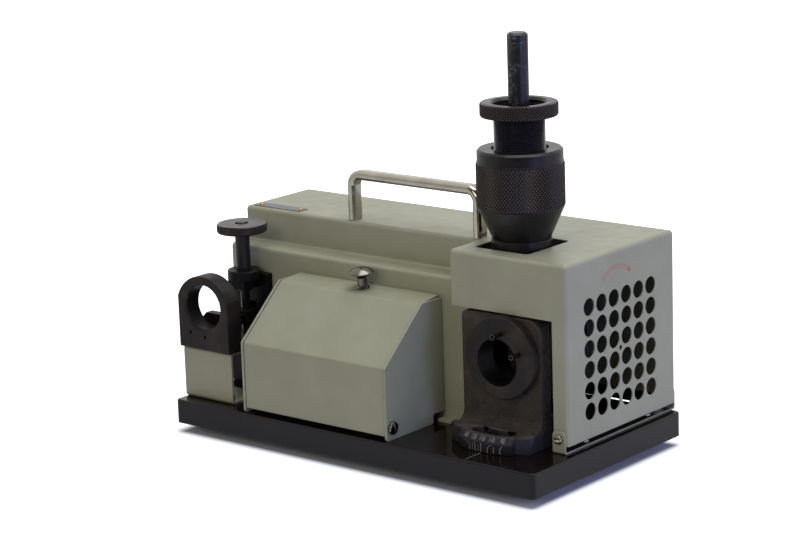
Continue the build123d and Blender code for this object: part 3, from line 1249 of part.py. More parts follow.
def setting_knob():
    bore = SPINDLE_SPIGOT_RADIUS + SEAT_GAP
    knob = turned(
        (bore, KNOB_BOTTOM),
        (KNOB_RADIUS - KNOB_EDGE, KNOB_BOTTOM),
        (KNOB_RADIUS, KNOB_BOTTOM + KNOB_EDGE),
        (KNOB_RADIUS, KNOB_TOP - KNOB_EDGE),
        (KNOB_RADIUS - KNOB_EDGE, KNOB_TOP),
        (KNOB_RECESS_RADIUS, KNOB_TOP),
        (KNOB_RECESS_RADIUS, KNOB_SEAT),
        (SCREW_HOLE_RADIUS, KNOB_SEAT),
        (SCREW_HOLE_RADIUS, KNOB_SEAT - KNOB_WEB),
        (bore, KNOB_SEAT - KNOB_WEB),
    )
    return Pos(STATION_X, SPINDLE_Y, 0) * knob


def knob_screw():
    return Pos(STATION_X, SPINDLE_Y, KNOB_SEAT) * pan_screw(SCREW_DIAMETER, SCREW_LENGTH)


def setting_slide():
    """Nut on the screwed rod, with a tongue in the column and a stop finger behind the ring."""
    tip_front = RING_BACK + FINGER_GAP
    tip_back = tip_front + FINGER_TIP_LENGTH
    low = SLIDE_MIDDLE - FINGER_HEIGHT / 2
    high = SLIDE_MIDDLE + FINGER_HEIGHT / 2
    slide = bar((STATION_X, SPINDLE_Y, SLIDE_BOTTOM), UP, SLIDE_BOSS_HEIGHT, SLIDE_BOSS_RADIUS)
    slide += block(
        (STATION_X - FINGER_WIDTH / 2, STATION_X + FINGER_WIDTH / 2), (tip_front, SPINDLE_Y), (low, high)
    )
    slide += block(
        (STATION_X - TONGUE_WIDTH / 2, STATION_X + TONGUE_WIDTH / 2),
        (SPINDLE_Y, COLUMN_FRONT + TONGUE_DEPTH),
        (SLIDE_MIDDLE - TONGUE_HEIGHT / 2, SLIDE_MIDDLE + TONGUE_HEIGHT / 2),
    )
    half = FINGER_TIP_WIDTH / 2
    crown = high + FINGER_RISE
    tip = Polygon(
        (-half, low),
        (half, low),
        (half, crown - FINGER_CORNER),
        (half - FINGER_CORNER, crown),
        (FINGER_CORNER - half, crown),
        (-half, crown - FINGER_CORNER),
    )
    place = Plane(origin=(STATION_X, tip_back, 0), x_dir=RIGHT, z_dir=FRONT)
    slide += extrude(place * tip, FINGER_TIP_LENGTH)
    bore = SPINDLE_ROD_RADIUS + RUN_FIT
    return slide - bar((STATION_X, SPINDLE_Y, SLIDE_BOTTOM), UP, SLIDE_BOSS_HEIGHT, bore)


# Swivelling socket; its pieces are drawn about the pivot and then moved there
def swivel_socket():
    scale_edge = SWIVEL_FOOT_TOP - SCALE_RIM_DROP
    disc = turned(
        (0, SWIVEL_BOTTOM),
        (SWIVEL_SCALE_RADIUS, SWIVEL_BOTTOM),
        (SWIVEL_SCALE_RADIUS, scale_edge),
        (SWIVEL_SCALE_RADIUS - SCALE_RIM_INSET, SWIVEL_FOOT_TOP),
        (0, SWIVEL_FOOT_TOP),
    )
    facet = SWIVEL_FACET_START
    facet_end = -SWIVEL_SCALE_RADIUS + SWIVEL_FACET_DEPTH
    facet_front = -SWIVEL_SCALE_RADIUS + SWIVEL_FACET_CUT
    plan = Polygon(
        (SWIVEL_LEFT, SWIVEL_BACK),
        (SWIVEL_LEFT, facet_end),
        (-facet, facet_front),
        (-facet, -SWIVEL_SCALE_RADIUS),
        (facet, -SWIVEL_SCALE_RADIUS),
        (facet, facet_front),
        (SWIVEL_RIGHT, facet_end),
        (SWIVEL_RIGHT, SWIVEL_BACK),
    )
    tongue = SWIVEL_TONGUE_WIDTH / 2
    plan += Circle(tongue) + Pos(0, SWIVEL_BACK / 2) * Rectangle(2 * tongue, -SWIVEL_BACK)
    foot = disc & extrude(Pos(0, 0, SWIVEL_BOTTOM) * plan, SWIVEL_FOOT_THICKNESS)
    width = (SWIVEL_LEFT, SWIVEL_RIGHT)
    wall = block(width, (SWIVEL_FRONT, SWIVEL_BACK), (SWIVEL_BOTTOM, SWIVEL_TOP))
    for end, radius in zip((0, -1), SWIVEL_CORNER_RADII):
        corner = wall.edges().filter_by(Axis.Y).group_by(Axis.Z)[-1].sort_by(Axis.X)[end]
        wall = fillet(corner, radius)
    cove = SWIVEL_COVE_RADIUS
    web = block(width, (SWIVEL_FRONT - cove, SWIVEL_FRONT), (SWIVEL_FOOT_TOP, SWIVEL_FOOT_TOP + cove))
    web -= bar((SWIVEL_LEFT, SWIVEL_FRONT - cove, SWIVEL_FOOT_TOP + cove), RIGHT, SWIVEL_WIDTH, cove)
    socket = foot + wall + web
    socket -= bar((FLANGE_SHIFT, SWIVEL_FRONT, FLANGE_Z), REAR, SWIVEL_WALL, SPIGOT_RADIUS + SEAT_GAP)
    socket -= bar((0, 0, SWIVEL_BOTTOM), UP, SWIVEL_FOOT_THICKNESS, PIVOT_PIN_RADIUS + RUN_FIT)
    socket -= clamp_slot(CLAMP_DIAMETER + 4 * PANEL_GAP, SWIVEL_BOTTOM)
    socket -= clamp_slot(CLAMP_SLOT_WIDTH, SWIVEL_BOTTOM + CLAMP_SHELF)
    return Pos(PIVOT_X, PIVOT_Y, 0) * socket


def clamp_slot(width, bottom):
    """An arc slot about the pivot, long enough for the clamp screw over the whole swing."""
    height = SWIVEL_FOOT_TOP - bottom
    start = -90 - SWIVEL_MOST - CLAMP_SLOT_MARGIN
    end = -90 - SWIVEL_LEAST + CLAMP_SLOT_MARGIN
    section = Plane.XZ * Pos(CLAMP_RADIUS, bottom + height / 2) * Rectangle(width, height)
    slot = Rot(0, 0, start) * revolve(section, axis=Axis.Z, revolution_arc=end - start)
    for angle in (start, end):
        middle = (CLAMP_RADIUS * cos(radians(angle)), CLAMP_RADIUS * sin(radians(angle)), bottom)
        slot += bar(middle, UP, height, width / 2)
    return slot


def swivel_pin():
    bottom = BASE_TOP - PIVOT_PIN_DEPTH
    pin = bar((PIVOT_X, PIVOT_Y, bottom), UP, SWIVEL_FOOT_TOP - bottom, PIVOT_PIN_RADIUS)
    return chamfer(pin.edges().group_by(Axis.Z)[-1], PIVOT_PIN_RADIUS / 8)


def clamp_washer():
    hole = CLAMP_DIAMETER / 2 + SEAT_GAP
    ring = turned(
        (hole, CLAMP_SEAT),
        (CLAMP_WASHER_RADIUS, CLAMP_SEAT),
        (CLAMP_WASHER_RADIUS, CLAMP_SEAT + CLAMP_WASHER_THICKNESS),
        (hole, CLAMP_SEAT + CLAMP_WASHER_THICKNESS),
    )
    return Pos(PIVOT_X, PIVOT_Y - CLAMP_RADIUS, 0) * ring


def clamp_screw():
    """Cap screw with a hexagon socket, into the base."""
    seat = CLAMP_SEAT + CLAMP_WASHER_THICKNESS
    head_height = SWIVEL_FOOT_TOP - seat - CLAMP_HEAD_SINK
    screw = bar((0, 0, seat), UP, head_height, CLAMP_HEAD_RADIUS)
    screw -= Pos(0, 0, seat + head_height / 2) * hexagon(CLAMP_HEX, head_height)
    screw += bar((0, 0, seat), DOWN, seat - BASE_TOP + CLAMP_REACH, CLAMP_DIAMETER / 2)
    return Pos(PIVOT_X, PIVOT_Y - CLAMP_RADIUS, 0) * screw


def socket_pin_places():
    """Planes at the pins' inner ends, with Z along each pin, outwards from the bore."""
    y = FLANGE_FACE + SOCKET_PIN_DEPTH
    places = []
    for angle, reach in zip(SOCKET_PIN_ANGLES, SOCKET_PIN_REACHES):
        way = (cos(radians(angle)), 0, sin(radians(angle)))
        start = SOCKET_RADIUS - reach
        places.append(Plane(origin=(PIVOT_X + start * way[0], y, SOCKET_Z + start * way[2]), z_dir=way))
    return places


def socket_sleeve():
    flange = bar((FLANGE_X, SWIVEL_FACE, FLANGE_Z), FRONT, FLANGE_THICKNESS, FLANGE_RADIUS)
    flange = chamfer(flange.edges().group_by(Axis.Y)[0], FLANGE_EDGE)
    sleeve = flange + bar((FLANGE_X, SWIVEL_FACE, FLANGE_Z), REAR, SWIVEL_WALL, SPIGOT_RADIUS)
    sleeve -= bar((PIVOT_X, FLANGE_FACE, SOCKET_Z), REAR, FLANGE_THICKNESS + SWIVEL_WALL, SOCKET_RADIUS)
    for place in socket_pin_places():
        seat = SOCKET_PIN_RADIUS + SEAT_GAP
        sleeve -= place * Cylinder(seat, SOCKET_PIN_LENGTH, align=(Align.CENTER, Align.CENTER, Align.MIN))
    return sleeve


def socket_pins():
    pin = bar((0, 0, 0), UP, SOCKET_PIN_LENGTH, SOCKET_PIN_RADIUS)
    pin -= bar((0, 0, 0), UP, SOCKET_PIN_LENGTH / 2, SOCKET_PIN_BORE)
    return group([place * pin for place in socket_pin_places()])


# Point thinning port
def port_bracket():
    plate = block(
        (CASING_RIGHT, PORT_X + PORT_REACH), (PORT_Y - PORT_REACH, PORT_Y + PORT_REACH),
        (PORT_PLATE_BOTTOM, PORT_PLATE_TOP),
    )
    plate += block(
        (CASING_RIGHT, CASING_RIGHT + PORT_FLANGE_THICKNESS),
        (PORT_FLANGE_FRONT, PORT_FLANGE_FRONT + PORT_FLANGE_DEPTH),
        (PORT_FLANGE_BOTTOM, PORT_PLATE_TOP),
    )
    plate -= bar((PORT_X, PORT_Y, PORT_PLATE_BOTTOM), UP, PORT_PLATE_THICKNESS, PORT_SLEEVE_RADIUS + SEAT_GAP)
    for y in PORT_SCREWS_Y:
        hole = PORT_SCREW_DIAMETER / 2 + SEAT_GAP
        plate -= bar((CASING_RIGHT, y, PORT_SCREW_Z), RIGHT, PORT_FLANGE_THICKNESS, hole)
    return plate


def port_screws():
    screw = pan_screw(PORT_SCREW_DIAMETER, PORT_FLANGE_THICKNESS + MOTOR_PLATE_THICKNESS)
    seat = CASING_RIGHT + PORT_FLANGE_THICKNESS
    return group([Plane(origin=(seat, y, PORT_SCREW_Z), z_dir=RIGHT) * screw for y in PORT_SCREWS_Y])


def port_sleeve():
    sleeve = turned(
        (SOCKET_RADIUS, PORT_SLEEVE_BOTTOM),
        (PORT_SLEEVE_RADIUS, PORT_SLEEVE_BOTTOM),
        (PORT_SLEEVE_RADIUS, PORT_SEAT),
        (SOCKET_RADIUS, PORT_SEAT),
    )
    return Pos(PORT_X, PORT_Y, 0) * sleeve


# Chuck
def chuck_body():
    """Nose, cone and grip, bored for the collet and, above it, for the draw tube."""
    cavity = COLLET_RADIUS + SEAT_GAP
    mouth = COLLET_NOSE_RADIUS + SEAT_GAP
    thread = TUBE_RADIUS + RUN_FIT
    body = turned(
        (mouth, -NOSE_LENGTH),
        (NOSE_RADIUS, -NOSE_LENGTH),
        (NOSE_RADIUS, 0),
        (CHUCK_END_RADIUS, 0),
        (GRIP_RADIUS, GRIP_BOTTOM),
        (GRIP_RADIUS, GRIP_TOP),
        (thread, GRIP_TOP),
        (thread, COLLET_TOP),
        (cavity, COLLET_TOP),
        (cavity, COLLET_BOTTOM + COLLET_TAPER_LENGTH),
        (mouth, COLLET_BOTTOM),
    )
    for angle in SOCKET_PIN_ANGLES:
        groove = block(
            (NOSE_RADIUS - NOSE_GROOVE_DEPTH, NOSE_RADIUS + NOSE_GROOVE_DEPTH),
            (-NOSE_GROOVE_WIDTH / 2, NOSE_GROOVE_WIDTH / 2),
            (-NOSE_LENGTH, NOSE_GROOVE_LENGTH - NOSE_LENGTH),
        )
        body -= Rot(0, 0, angle) * groove
    return CHUCK * body


def chuck_collar():
    bore = TUBE_RADIUS + RUN_FIT
    collar = turned(
        (bore, GRIP_TOP),
        (COLLAR_RADIUS, GRIP_TOP),
        (COLLAR_RADIUS, COLLAR_TOP - COLLAR_EDGE),
        (COLLAR_RADIUS - COLLAR_EDGE, COLLAR_TOP),
        (COLLAR_RELIEF_RADIUS, COLLAR_TOP),
        (COLLAR_RELIEF_RADIUS, COLLAR_TOP - COLLAR_RELIEF_DEPTH),
        (bore, COLLAR_TOP - COLLAR_RELIEF_DEPTH),
    )
    return CHUCK * collar


def draw_tube():
    bore = TUBE_RADIUS - TUBE_WALL
    tube = turned(
        (TUBE_LIP_RADIUS, TUBE_BOTTOM),
        (TUBE_RADIUS, TUBE_BOTTOM),
        (TUBE_RADIUS, TUBE_TOP),
        (bore, TUBE_TOP),
        (bore, TUBE_BOTTOM + TUBE_LIP_HEIGHT),
        (TUBE_LIP_RADIUS, TUBE_BOTTOM + TUBE_LIP_HEIGHT),
    )
    return CHUCK * tube


def draw_ring():
    bore = TUBE_RADIUS + RUN_FIT
    edge = RING_NUT_EDGE
    ring = turned(
        (bore, RING_NUT_BOTTOM),
        (RING_NUT_RADIUS - edge, RING_NUT_BOTTOM),
        (RING_NUT_RADIUS, RING_NUT_BOTTOM + edge),
        (RING_NUT_RADIUS, RING_NUT_TOP - edge),
        (RING_NUT_RADIUS - edge, RING_NUT_TOP),
        (bore + edge, RING_NUT_TOP),
        (bore, RING_NUT_TOP - edge),
    )
    return CHUCK * ring


def chuck_collet():
    return CHUCK * (Pos(0, 0, COLLET_BOTTOM) * collet(DRILL_RADIUS + SEAT_GAP))


def drill_bit():
    """Two-flute twist drill, ground to the common point angle, with a plain shank."""
    section = Circle(DRILL_RADIUS)
    for side in (-1, 1):
        section -= Pos(side * FLUTE_OFFSET, 0) * Circle(FLUTE_RADIUS)
    flutes = Solid.extrude_linear_with_rotation(
        section.face(), (0, 0, 0), (0, 0, FLUTE_LENGTH), FLUTE_LENGTH / FLUTE_LEAD * 360
    )
    point_height = DRILL_RADIUS / tan(radians(POINT_ANGLE / 2))
    spare = DRILL_RADIUS * 1.1
    flutes &= turned((0, 0), (spare, point_height * 1.1), (spare, FLUTE_LENGTH), (0, FLUTE_LENGTH))
    shank = turned(
        (0, FLUTE_LENGTH),
        (DRILL_RADIUS, FLUTE_LENGTH),
        (DRILL_RADIUS, DRILL_LENGTH - DRILL_END_CHAMFER),
        (DRILL_RADIUS - DRILL_END_CHAMFER, DRILL_LENGTH),
        (0, DRILL_LENGTH),
    )
    return CHUCK * (Pos(0, 0, DRILL_POINT) * (flutes + shank))


PIECES = (
    base_plate, rubber_feet, foot_screws, base_screws,
    motor_casing, end_panel, switch_housing, switch_rocker, power_inlet, carry_handle, handle_screws,
    motor_plate, motor_stator, front_bell, rear_bell, motor_bearings, motor_cradle, run_capacitor,
    rotor_shaft, wheel_hub, grinding_wheel, wheel_nut,
    wheel_cover, cover_tray, cover_screws,
    storage_box, storage_lid, lid_pins, lid_knob, lid_knob_nut, collet_rack, collets,
    setting_bracket, setting_ring, ring_screws, setting_column, column_screws, setting_bush,
    setting_spindle, setting_knob, knob_screw, setting_slide,
    swivel_socket, swivel_pin, clamp_washer, clamp_screw, socket_sleeve, socket_pins,
    port_bracket, port_screws, port_sleeve,
    chuck_body, chuck_collar, draw_tube, draw_ring, chuck_collet, drill_bit,
)

os.makedirs("parts", exist_ok=True)
for piece in PIECES:
    export_step(piece(), f"parts/{piece.__name__}.step")
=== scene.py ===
"""Drill bit grinder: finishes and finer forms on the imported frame, with its camera, floor and light."""

import json
import math

import bmesh
import bpy
from mathutils import Matrix, Vector


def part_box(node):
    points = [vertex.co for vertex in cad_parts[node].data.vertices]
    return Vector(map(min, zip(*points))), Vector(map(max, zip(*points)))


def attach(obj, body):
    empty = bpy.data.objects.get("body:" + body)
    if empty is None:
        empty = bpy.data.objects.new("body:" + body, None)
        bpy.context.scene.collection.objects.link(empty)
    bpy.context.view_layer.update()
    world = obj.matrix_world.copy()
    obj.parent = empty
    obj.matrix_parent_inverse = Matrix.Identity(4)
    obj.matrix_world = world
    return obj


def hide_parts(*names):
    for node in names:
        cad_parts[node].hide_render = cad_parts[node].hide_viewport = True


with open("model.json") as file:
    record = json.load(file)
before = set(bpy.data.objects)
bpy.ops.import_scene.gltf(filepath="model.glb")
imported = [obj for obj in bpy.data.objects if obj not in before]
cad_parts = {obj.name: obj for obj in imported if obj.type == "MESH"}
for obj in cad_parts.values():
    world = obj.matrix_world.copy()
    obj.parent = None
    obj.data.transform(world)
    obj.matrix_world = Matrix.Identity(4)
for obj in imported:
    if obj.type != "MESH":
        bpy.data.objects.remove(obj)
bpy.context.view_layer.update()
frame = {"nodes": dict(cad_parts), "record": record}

MM = 0.001
scene = bpy.context.scene
scene.view_settings.view_transform = "Standard"


def srgb(red, green, blue):
    """Linear colour, with alpha, of an 8-bit display colour."""
    values = []
    for value in (red, green, blue):
        share = value / 255
        values.append(share / 12.92 if share <= 0.04045 else ((share + 0.055) / 1.055) ** 2.4)
    return (*values, 1.0)


# Materials

BLACK = (0.0, 0.0, 0.0, 1.0)
WHITE = (1.0, 1.0, 1.0, 1.0)
NOISE_LOW = 0.3
NOISE_SPAN = 0.4
NOISE_HIGH = NOISE_LOW + NOISE_SPAN
SPECK_EDGE = 0.03
SCRATCH_WAVES = 210.0
SCRATCH_STOPS = ((0.485, BLACK), (0.5, WHITE), (0.515, BLACK))
SCRATCHED_WAVES = 42.0
SCRATCHED_RANGE = (0.52, 0.6)
WEAR_WAVES = 160.0
WEAR_RANGE = (0.42, 0.62)
GLOSS_FINENESS = 2.7


def add(tree, kind, settings=None, **inputs):
    """A new node with its settings and unlinked inputs."""
    made = tree.nodes.new(kind)
    for key, value in (settings or {}).items():
        setattr(made, key, value)
    for key, value in inputs.items():
        made.inputs[key.replace("_", " ")].default_value = value
    return made


def noise(tree, place, waves, detail=4.0, stretch=None):
    """Noise of that many waves a metre, drawn out along an axis if stretch is given."""
    made = add(tree, "ShaderNodeTexNoise", Scale=waves, Detail=detail, Roughness=0.55)
    if stretch:
        mapping = add(tree, "ShaderNodeMapping", Scale=stretch)
        tree.links.new(place, mapping.inputs["Vector"])
        place = mapping.outputs["Vector"]
    tree.links.new(place, made.inputs["Vector"])
    return made.outputs["Fac"]


def ramp(tree, factor, *stops):
    """Colours along a factor, each stop a place and a colour."""
    made = add(tree, "ShaderNodeValToRGB")
    elements = made.color_ramp.elements
    while len(elements) < len(stops):
        elements.new(0.5)
    for element, (position, colour) in zip(elements, stops):
        element.position = position
        element.color = colour
    tree.links.new(factor, made.inputs["Fac"])
    return made.outputs["Color"]


def spread(tree, factor, low, high, start=NOISE_LOW, end=NOISE_HIGH):
    """A factor between start and end, carried over to low and high."""
    made = add(tree, "ShaderNodeMapRange", From_Min=start, From_Max=end, To_Min=low, To_Max=high)
    tree.links.new(factor, made.inputs["Value"])
    return made.outputs["Result"]


def mixed(tree, factor, first, second):
    """Second colour over the first, by the factor."""
    made = add(tree, "ShaderNodeMix", {"data_type": "RGBA"})
    tree.links.new(factor, made.inputs[0])
    for socket, value in ((made.inputs[6], first), (made.inputs[7], second)):
        if isinstance(value, tuple):
            socket.default_value = value
        else:
            tree.links.new(value, socket)
    return made.outputs[2]


def both(tree, operation, first, second):
    """Two values joined by a math operation."""
    made = add(tree, "ShaderNodeMath", {"operation": operation})
    tree.links.new(first, made.inputs[0])
    tree.links.new(second, made.inputs[1])
    return made.outputs["Value"]


def edges(tree, radius, start=0.985, end=0.86):
    """Softened normal, and a mask of the outer and inner edges."""
    soft = add(tree, "ShaderNodeBevel", {"samples": 6}, Radius=radius)
    flat = add(tree, "ShaderNodeNewGeometry")
    dot = add(tree, "ShaderNodeVectorMath", {"operation": "DOT_PRODUCT"})
    tree.links.new(soft.outputs["Normal"], dot.inputs[0])
    tree.links.new(flat.outputs["True Normal"], dot.inputs[1])
    return soft.outputs["Normal"], spread(tree, dot.outputs["Value"], 0.0, 1.0, start, end)


def surface(name):
    """A new material with its node tree, its shader and the place on the object."""
    made = bpy.data.materials.new(name)
    made.use_nodes = True
    tree = made.node_tree
    place = add(tree, "ShaderNodeTexCoord").outputs["Object"]
    return made, tree, tree.nodes["Principled BSDF"], place


def finish(
    name, tones, patch, rough, grain, bevel=0.7 * MM, metallic=0.0, worn=None, stretch=None, specks=None,
    specular=0.5, scratches=None,
):
    """Surface of two or more mottled tones, with uneven gloss, a grain and softened, worn edges.

    patch is waves a metre of the tones; rough is the range of roughness; grain is waves a metre and
    height in metres; worn is the colour of a rubbed edge; specks is a colour, the share of noise above
    which it shows and its waves a metre; scratches is a colour for hair lines.
    """
    made, tree, shader, place = surface(name)
    count = len(tones) - 1
    stops = [(NOISE_LOW + NOISE_SPAN * i / count, tone) for i, tone in enumerate(tones)]
    colour = ramp(tree, noise(tree, place, patch, detail=5.0, stretch=stretch), *stops)
    if specks:
        speck_colour, threshold, speck_waves = specks
        dust = noise(tree, place, speck_waves, detail=2.0)
        shown = spread(tree, dust, 0.0, 1.0, threshold, threshold + SPECK_EDGE)
        colour = mixed(tree, shown, colour, speck_colour)
    if scratches:
        lines = ramp(tree, noise(tree, place, SCRATCH_WAVES, detail=1.5), *SCRATCH_STOPS)
        groups = noise(tree, place, SCRATCHED_WAVES, detail=1.0)
        region = spread(tree, groups, 0.0, 1.0, *SCRATCHED_RANGE)
        colour = mixed(tree, both(tree, "MULTIPLY", lines, region), colour, scratches)
    normal, edge = edges(tree, bevel)
    if worn:
        patches = spread(tree, noise(tree, place, WEAR_WAVES), 0.0, 1.0, *WEAR_RANGE)
        colour = mixed(tree, both(tree, "MULTIPLY", edge, patches), colour, worn)
    tree.links.new(colour, shader.inputs["Base Color"])
    gloss = noise(tree, place, patch * GLOSS_FINENESS, detail=6.0, stretch=stretch)
    tree.links.new(spread(tree, gloss, *rough), shader.inputs["Roughness"])
    waves, height = grain
    bump = add(tree, "ShaderNodeBump", Strength=1.0, Distance=height)
    relief = noise(tree, place, waves, detail=3.0, stretch=stretch)
    tree.links.new(relief, bump.inputs["Height"])
    tree.links.new(normal, bump.inputs["Normal"])
    tree.links.new(bump.outputs["Normal"], shader.inputs["Normal"])
    shader.inputs["Metallic"].default_value = metallic
    shader.inputs["Specular IOR Level"].default_value = specular
    return made


FINISHES = {
    "olive_paint": finish(
        "satin_olive_paint",
        tones=(srgb(138, 136, 111), srgb(142, 140, 115), srgb(146, 144, 120)),
        patch=24.0,
        rough=(0.36, 0.48),
        grain=(1500.0, 0.03 * MM),
        bevel=0.9 * MM,
        worn=srgb(172, 171, 156),
        specks=(srgb(116, 114, 96), 0.74, 420.0),
    ),
    "base_paint": finish(
        "gloss_black_paint",
        tones=(srgb(15, 8, 7), srgb(19, 12, 10)),
        patch=30.0,
        rough=(0.06, 0.11),
        grain=(700.0, 0.006 * MM),
        bevel=1.2 * MM,
        worn=srgb(58, 56, 58),
        specks=(srgb(50, 48, 49), 0.78, 300.0),
        specular=0.23,
    ),
    "rubber": finish(
        "moulded_rubber",
        tones=(srgb(17, 17, 18), srgb(24, 24, 25)),
        patch=90.0,
        rough=(0.62, 0.8),
        grain=(1800.0, 0.06 * MM),
        worn=srgb(40, 40, 40),
        specular=0.3,
    ),
    "steel": finish(
        "turned_steel",
        tones=(srgb(132, 128, 120), srgb(168, 164, 156)),
        patch=140.0,
        rough=(0.2, 0.36),
        grain=(2400.0, 0.01 * MM),
        bevel=0.35 * MM,
        metallic=1.0,
        worn=srgb(206, 203, 196),
    ),
    "nickel": finish(
        "polished_nickel",
        tones=(srgb(156, 151, 136), srgb(176, 171, 157)),
        patch=60.0,
        rough=(0.1, 0.18),
        grain=(500.0, 0.006 * MM),
        bevel=0.5 * MM,
        metallic=1.0,
        worn=srgb(192, 188, 176),
    ),
    "black_oxide": finish(
        "black_oxide_steel",
        tones=(srgb(22, 19, 18), srgb(26, 23, 21), srgb(30, 26, 24)),
        patch=30.0,
        rough=(0.25, 0.34),
        grain=(1700.0, 0.012 * MM),
        bevel=0.5 * MM,
        worn=srgb(84, 80, 78),
        specular=0.27,
    ),
    "black_casting": finish(
        "rough_black_casting",
        tones=(srgb(38, 33, 28), srgb(48, 42, 35), srgb(60, 52, 43)),
        patch=75.0,
        rough=(0.5, 0.66),
        grain=(700.0, 0.3 * MM),
        bevel=1.4 * MM,
        worn=srgb(72, 65, 55),
        specks=(srgb(72, 63, 52), 0.58, 800.0),
        specular=0.2,
    ),
    "drill_steel": finish(
        "blacked_drill_steel",
        tones=(srgb(20, 19, 20), srgb(27, 25, 26), srgb(34, 32, 34)),
        patch=260.0,
        rough=(0.26, 0.4),
        grain=(1400.0, 0.012 * MM),
        bevel=0.5 * MM,
        worn=srgb(104, 102, 102),
        stretch=(1.0, 1.0, 0.08),
        specular=0.3,
        scratches=srgb(150, 148, 152),
    ),
    "abrasive": finish(
        "bonded_abrasive",
        tones=(srgb(27, 25, 24), srgb(36, 33, 31), srgb(50, 46, 44)),
        patch=900.0,
        rough=(0.8, 0.95),
        grain=(1300.0, 0.3 * MM),
        bevel=0.6 * MM,
        specks=(srgb(84, 79, 75), 0.66, 1500.0),
        specular=0.3,
    ),
    "motor_iron": finish(
        "laminated_iron",
        tones=(srgb(58, 56, 54), srgb(92, 90, 88)),
        patch=900.0,
        rough=(0.34, 0.5),
        grain=(1000.0, 0.1 * MM),
        metallic=0.8,
        stretch=(1.0, 0.03, 0.03),
    ),
    "motor_aluminium": finish(
        "cast_aluminium",
        tones=(srgb(132, 133, 134), srgb(160, 161, 162)),
        patch=80.0,
        rough=(0.38, 0.55),
        grain=(700.0, 0.12 * MM),
        metallic=0.9,
        worn=srgb(190, 190, 190),
    ),
    "capacitor_can": finish(
        "drawn_aluminium_can",
        tones=(srgb(150, 151, 153), srgb(178, 179, 181)),
        patch=220.0,
        rough=(0.22, 0.34),
        grain=(900.0, 0.015 * MM),
        metallic=1.0,
        worn=srgb(205, 205, 205),
        stretch=(0.1, 1.0, 1.0),
    ),
    "black_plastic": finish(
        "moulded_black_plastic",
        tones=(srgb(20, 20, 21), srgb(27, 27, 28)),
        patch=70.0,
        rough=(0.36, 0.5),
        grain=(2200.0, 0.03 * MM),
        worn=srgb(50, 50, 51),
        specular=0.4,
    ),
}
KNURLED = finish(
    "oiled_knurling",
    tones=(srgb(16, 11, 8), srgb(20, 14, 10)),
    patch=30.0,
    rough=(0.3, 0.4),
    grain=(1700.0, 0.012 * MM),
    bevel=0.1 * MM,
    specular=0.24,
)
# Lighter knurl crests: rubbed steel, and also a painted highlight
RUBBED_CREST_AND_HIGHLIGHT = srgb(112, 95, 80)
THREAD = finish(
    "oiled_thread",
    tones=(srgb(13, 11, 11), srgb(18, 16, 16)),
    patch=30.0,
    rough=(0.2, 0.3),
    grain=(1700.0, 0.01 * MM),
    bevel=0.1 * MM,
    specular=0.32,
)
# Painted highlight along the crests of the thread
PAINTED_THREAD_HIGHLIGHT = srgb(58, 55, 60)
BROWNED = finish(
    "browned_oxide",
    tones=(srgb(20, 16, 14), srgb(29, 24, 19), srgb(50, 40, 29)),
    patch=36.0,
    rough=(0.4, 0.54),
    grain=(900.0, 0.05 * MM),
    bevel=0.9 * MM,
    worn=srgb(76, 68, 58),
    specular=0.2,
)
OILED = finish(
    "oiled_black_steel",
    tones=(srgb(12, 11, 10), srgb(18, 16, 14)),
    patch=40.0,
    rough=(0.36, 0.5),
    grain=(1500.0, 0.02 * MM),
    bevel=0.5 * MM,
    worn=srgb(48, 45, 42),
    specular=0.13,
)
WORN_NICKEL = finish(
    "worn_nickel",
    tones=(srgb(94, 90, 80), srgb(112, 108, 97)),
    patch=80.0,
    rough=(0.14, 0.24),
    grain=(700.0, 0.008 * MM),
    bevel=0.5 * MM,
    metallic=1.0,
    worn=srgb(158, 153, 140),
)
DULL_STEEL = finish(
    "dull_steel",
    tones=(srgb(44, 41, 38), srgb(58, 54, 50)),
    patch=300.0,
    rough=(0.34, 0.5),
    grain=(1800.0, 0.012 * MM),
    bevel=0.3 * MM,
    metallic=0.9,
    worn=srgb(108, 103, 95),
)
PASSIVATED = finish(
    "yellow_passivated_steel",
    tones=(srgb(132, 123, 102), srgb(158, 149, 127)),
    patch=260.0,
    rough=(0.22, 0.36),
    grain=(2000.0, 0.012 * MM),
    bevel=0.3 * MM,
    metallic=1.0,
    worn=srgb(214, 203, 172),
)
BRASS = finish(
    "worn_brass",
    tones=(srgb(150, 112, 44), srgb(186, 146, 66)),
    patch=200.0,
    rough=(0.2, 0.34),
    grain=(1800.0, 0.012 * MM),
    bevel=0.25 * MM,
    metallic=1.0,
    worn=srgb(214, 182, 104),
)
PLATE = finish(
    "brushed_grey_plate",
    tones=(srgb(84, 85, 92), srgb(102, 103, 110)),
    patch=420.0,
    rough=(0.34, 0.46),
    grain=(2600.0, 0.01 * MM),
    bevel=0.3 * MM,
    metallic=0.5,
    worn=srgb(150, 151, 154),
    stretch=(0.05, 1.0, 1.0),
)
PALE_INK = finish(
    "pale_filled_engraving",
    tones=(srgb(112, 108, 101), srgb(140, 136, 128)),
    patch=600.0,
    rough=(0.5, 0.65),
    grain=(2500.0, 0.01 * MM),
    bevel=0.1 * MM,
    specks=(srgb(84, 80, 74), 0.6, 1200.0),
)
RED_INK = finish(
    "red_printed_ink",
    tones=(srgb(172, 70, 76), srgb(188, 88, 94)),
    patch=300.0,
    rough=(0.4, 0.52),
    grain=(2500.0, 0.006 * MM),
    bevel=0.1 * MM,
)

BODY_OF = {node: body for body, nodes in frame["record"]["behaviour"]["bodies"].items() for node in nodes}
for name, node in frame["nodes"].items():
    for index, painted in enumerate(node.data.materials):
        node.data.materials[index] = FINISHES[painted.name]


# Places on the frame

def middle_of(node):
    """Middle of a node's box."""
    low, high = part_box(node)
    return (low + high) / 2


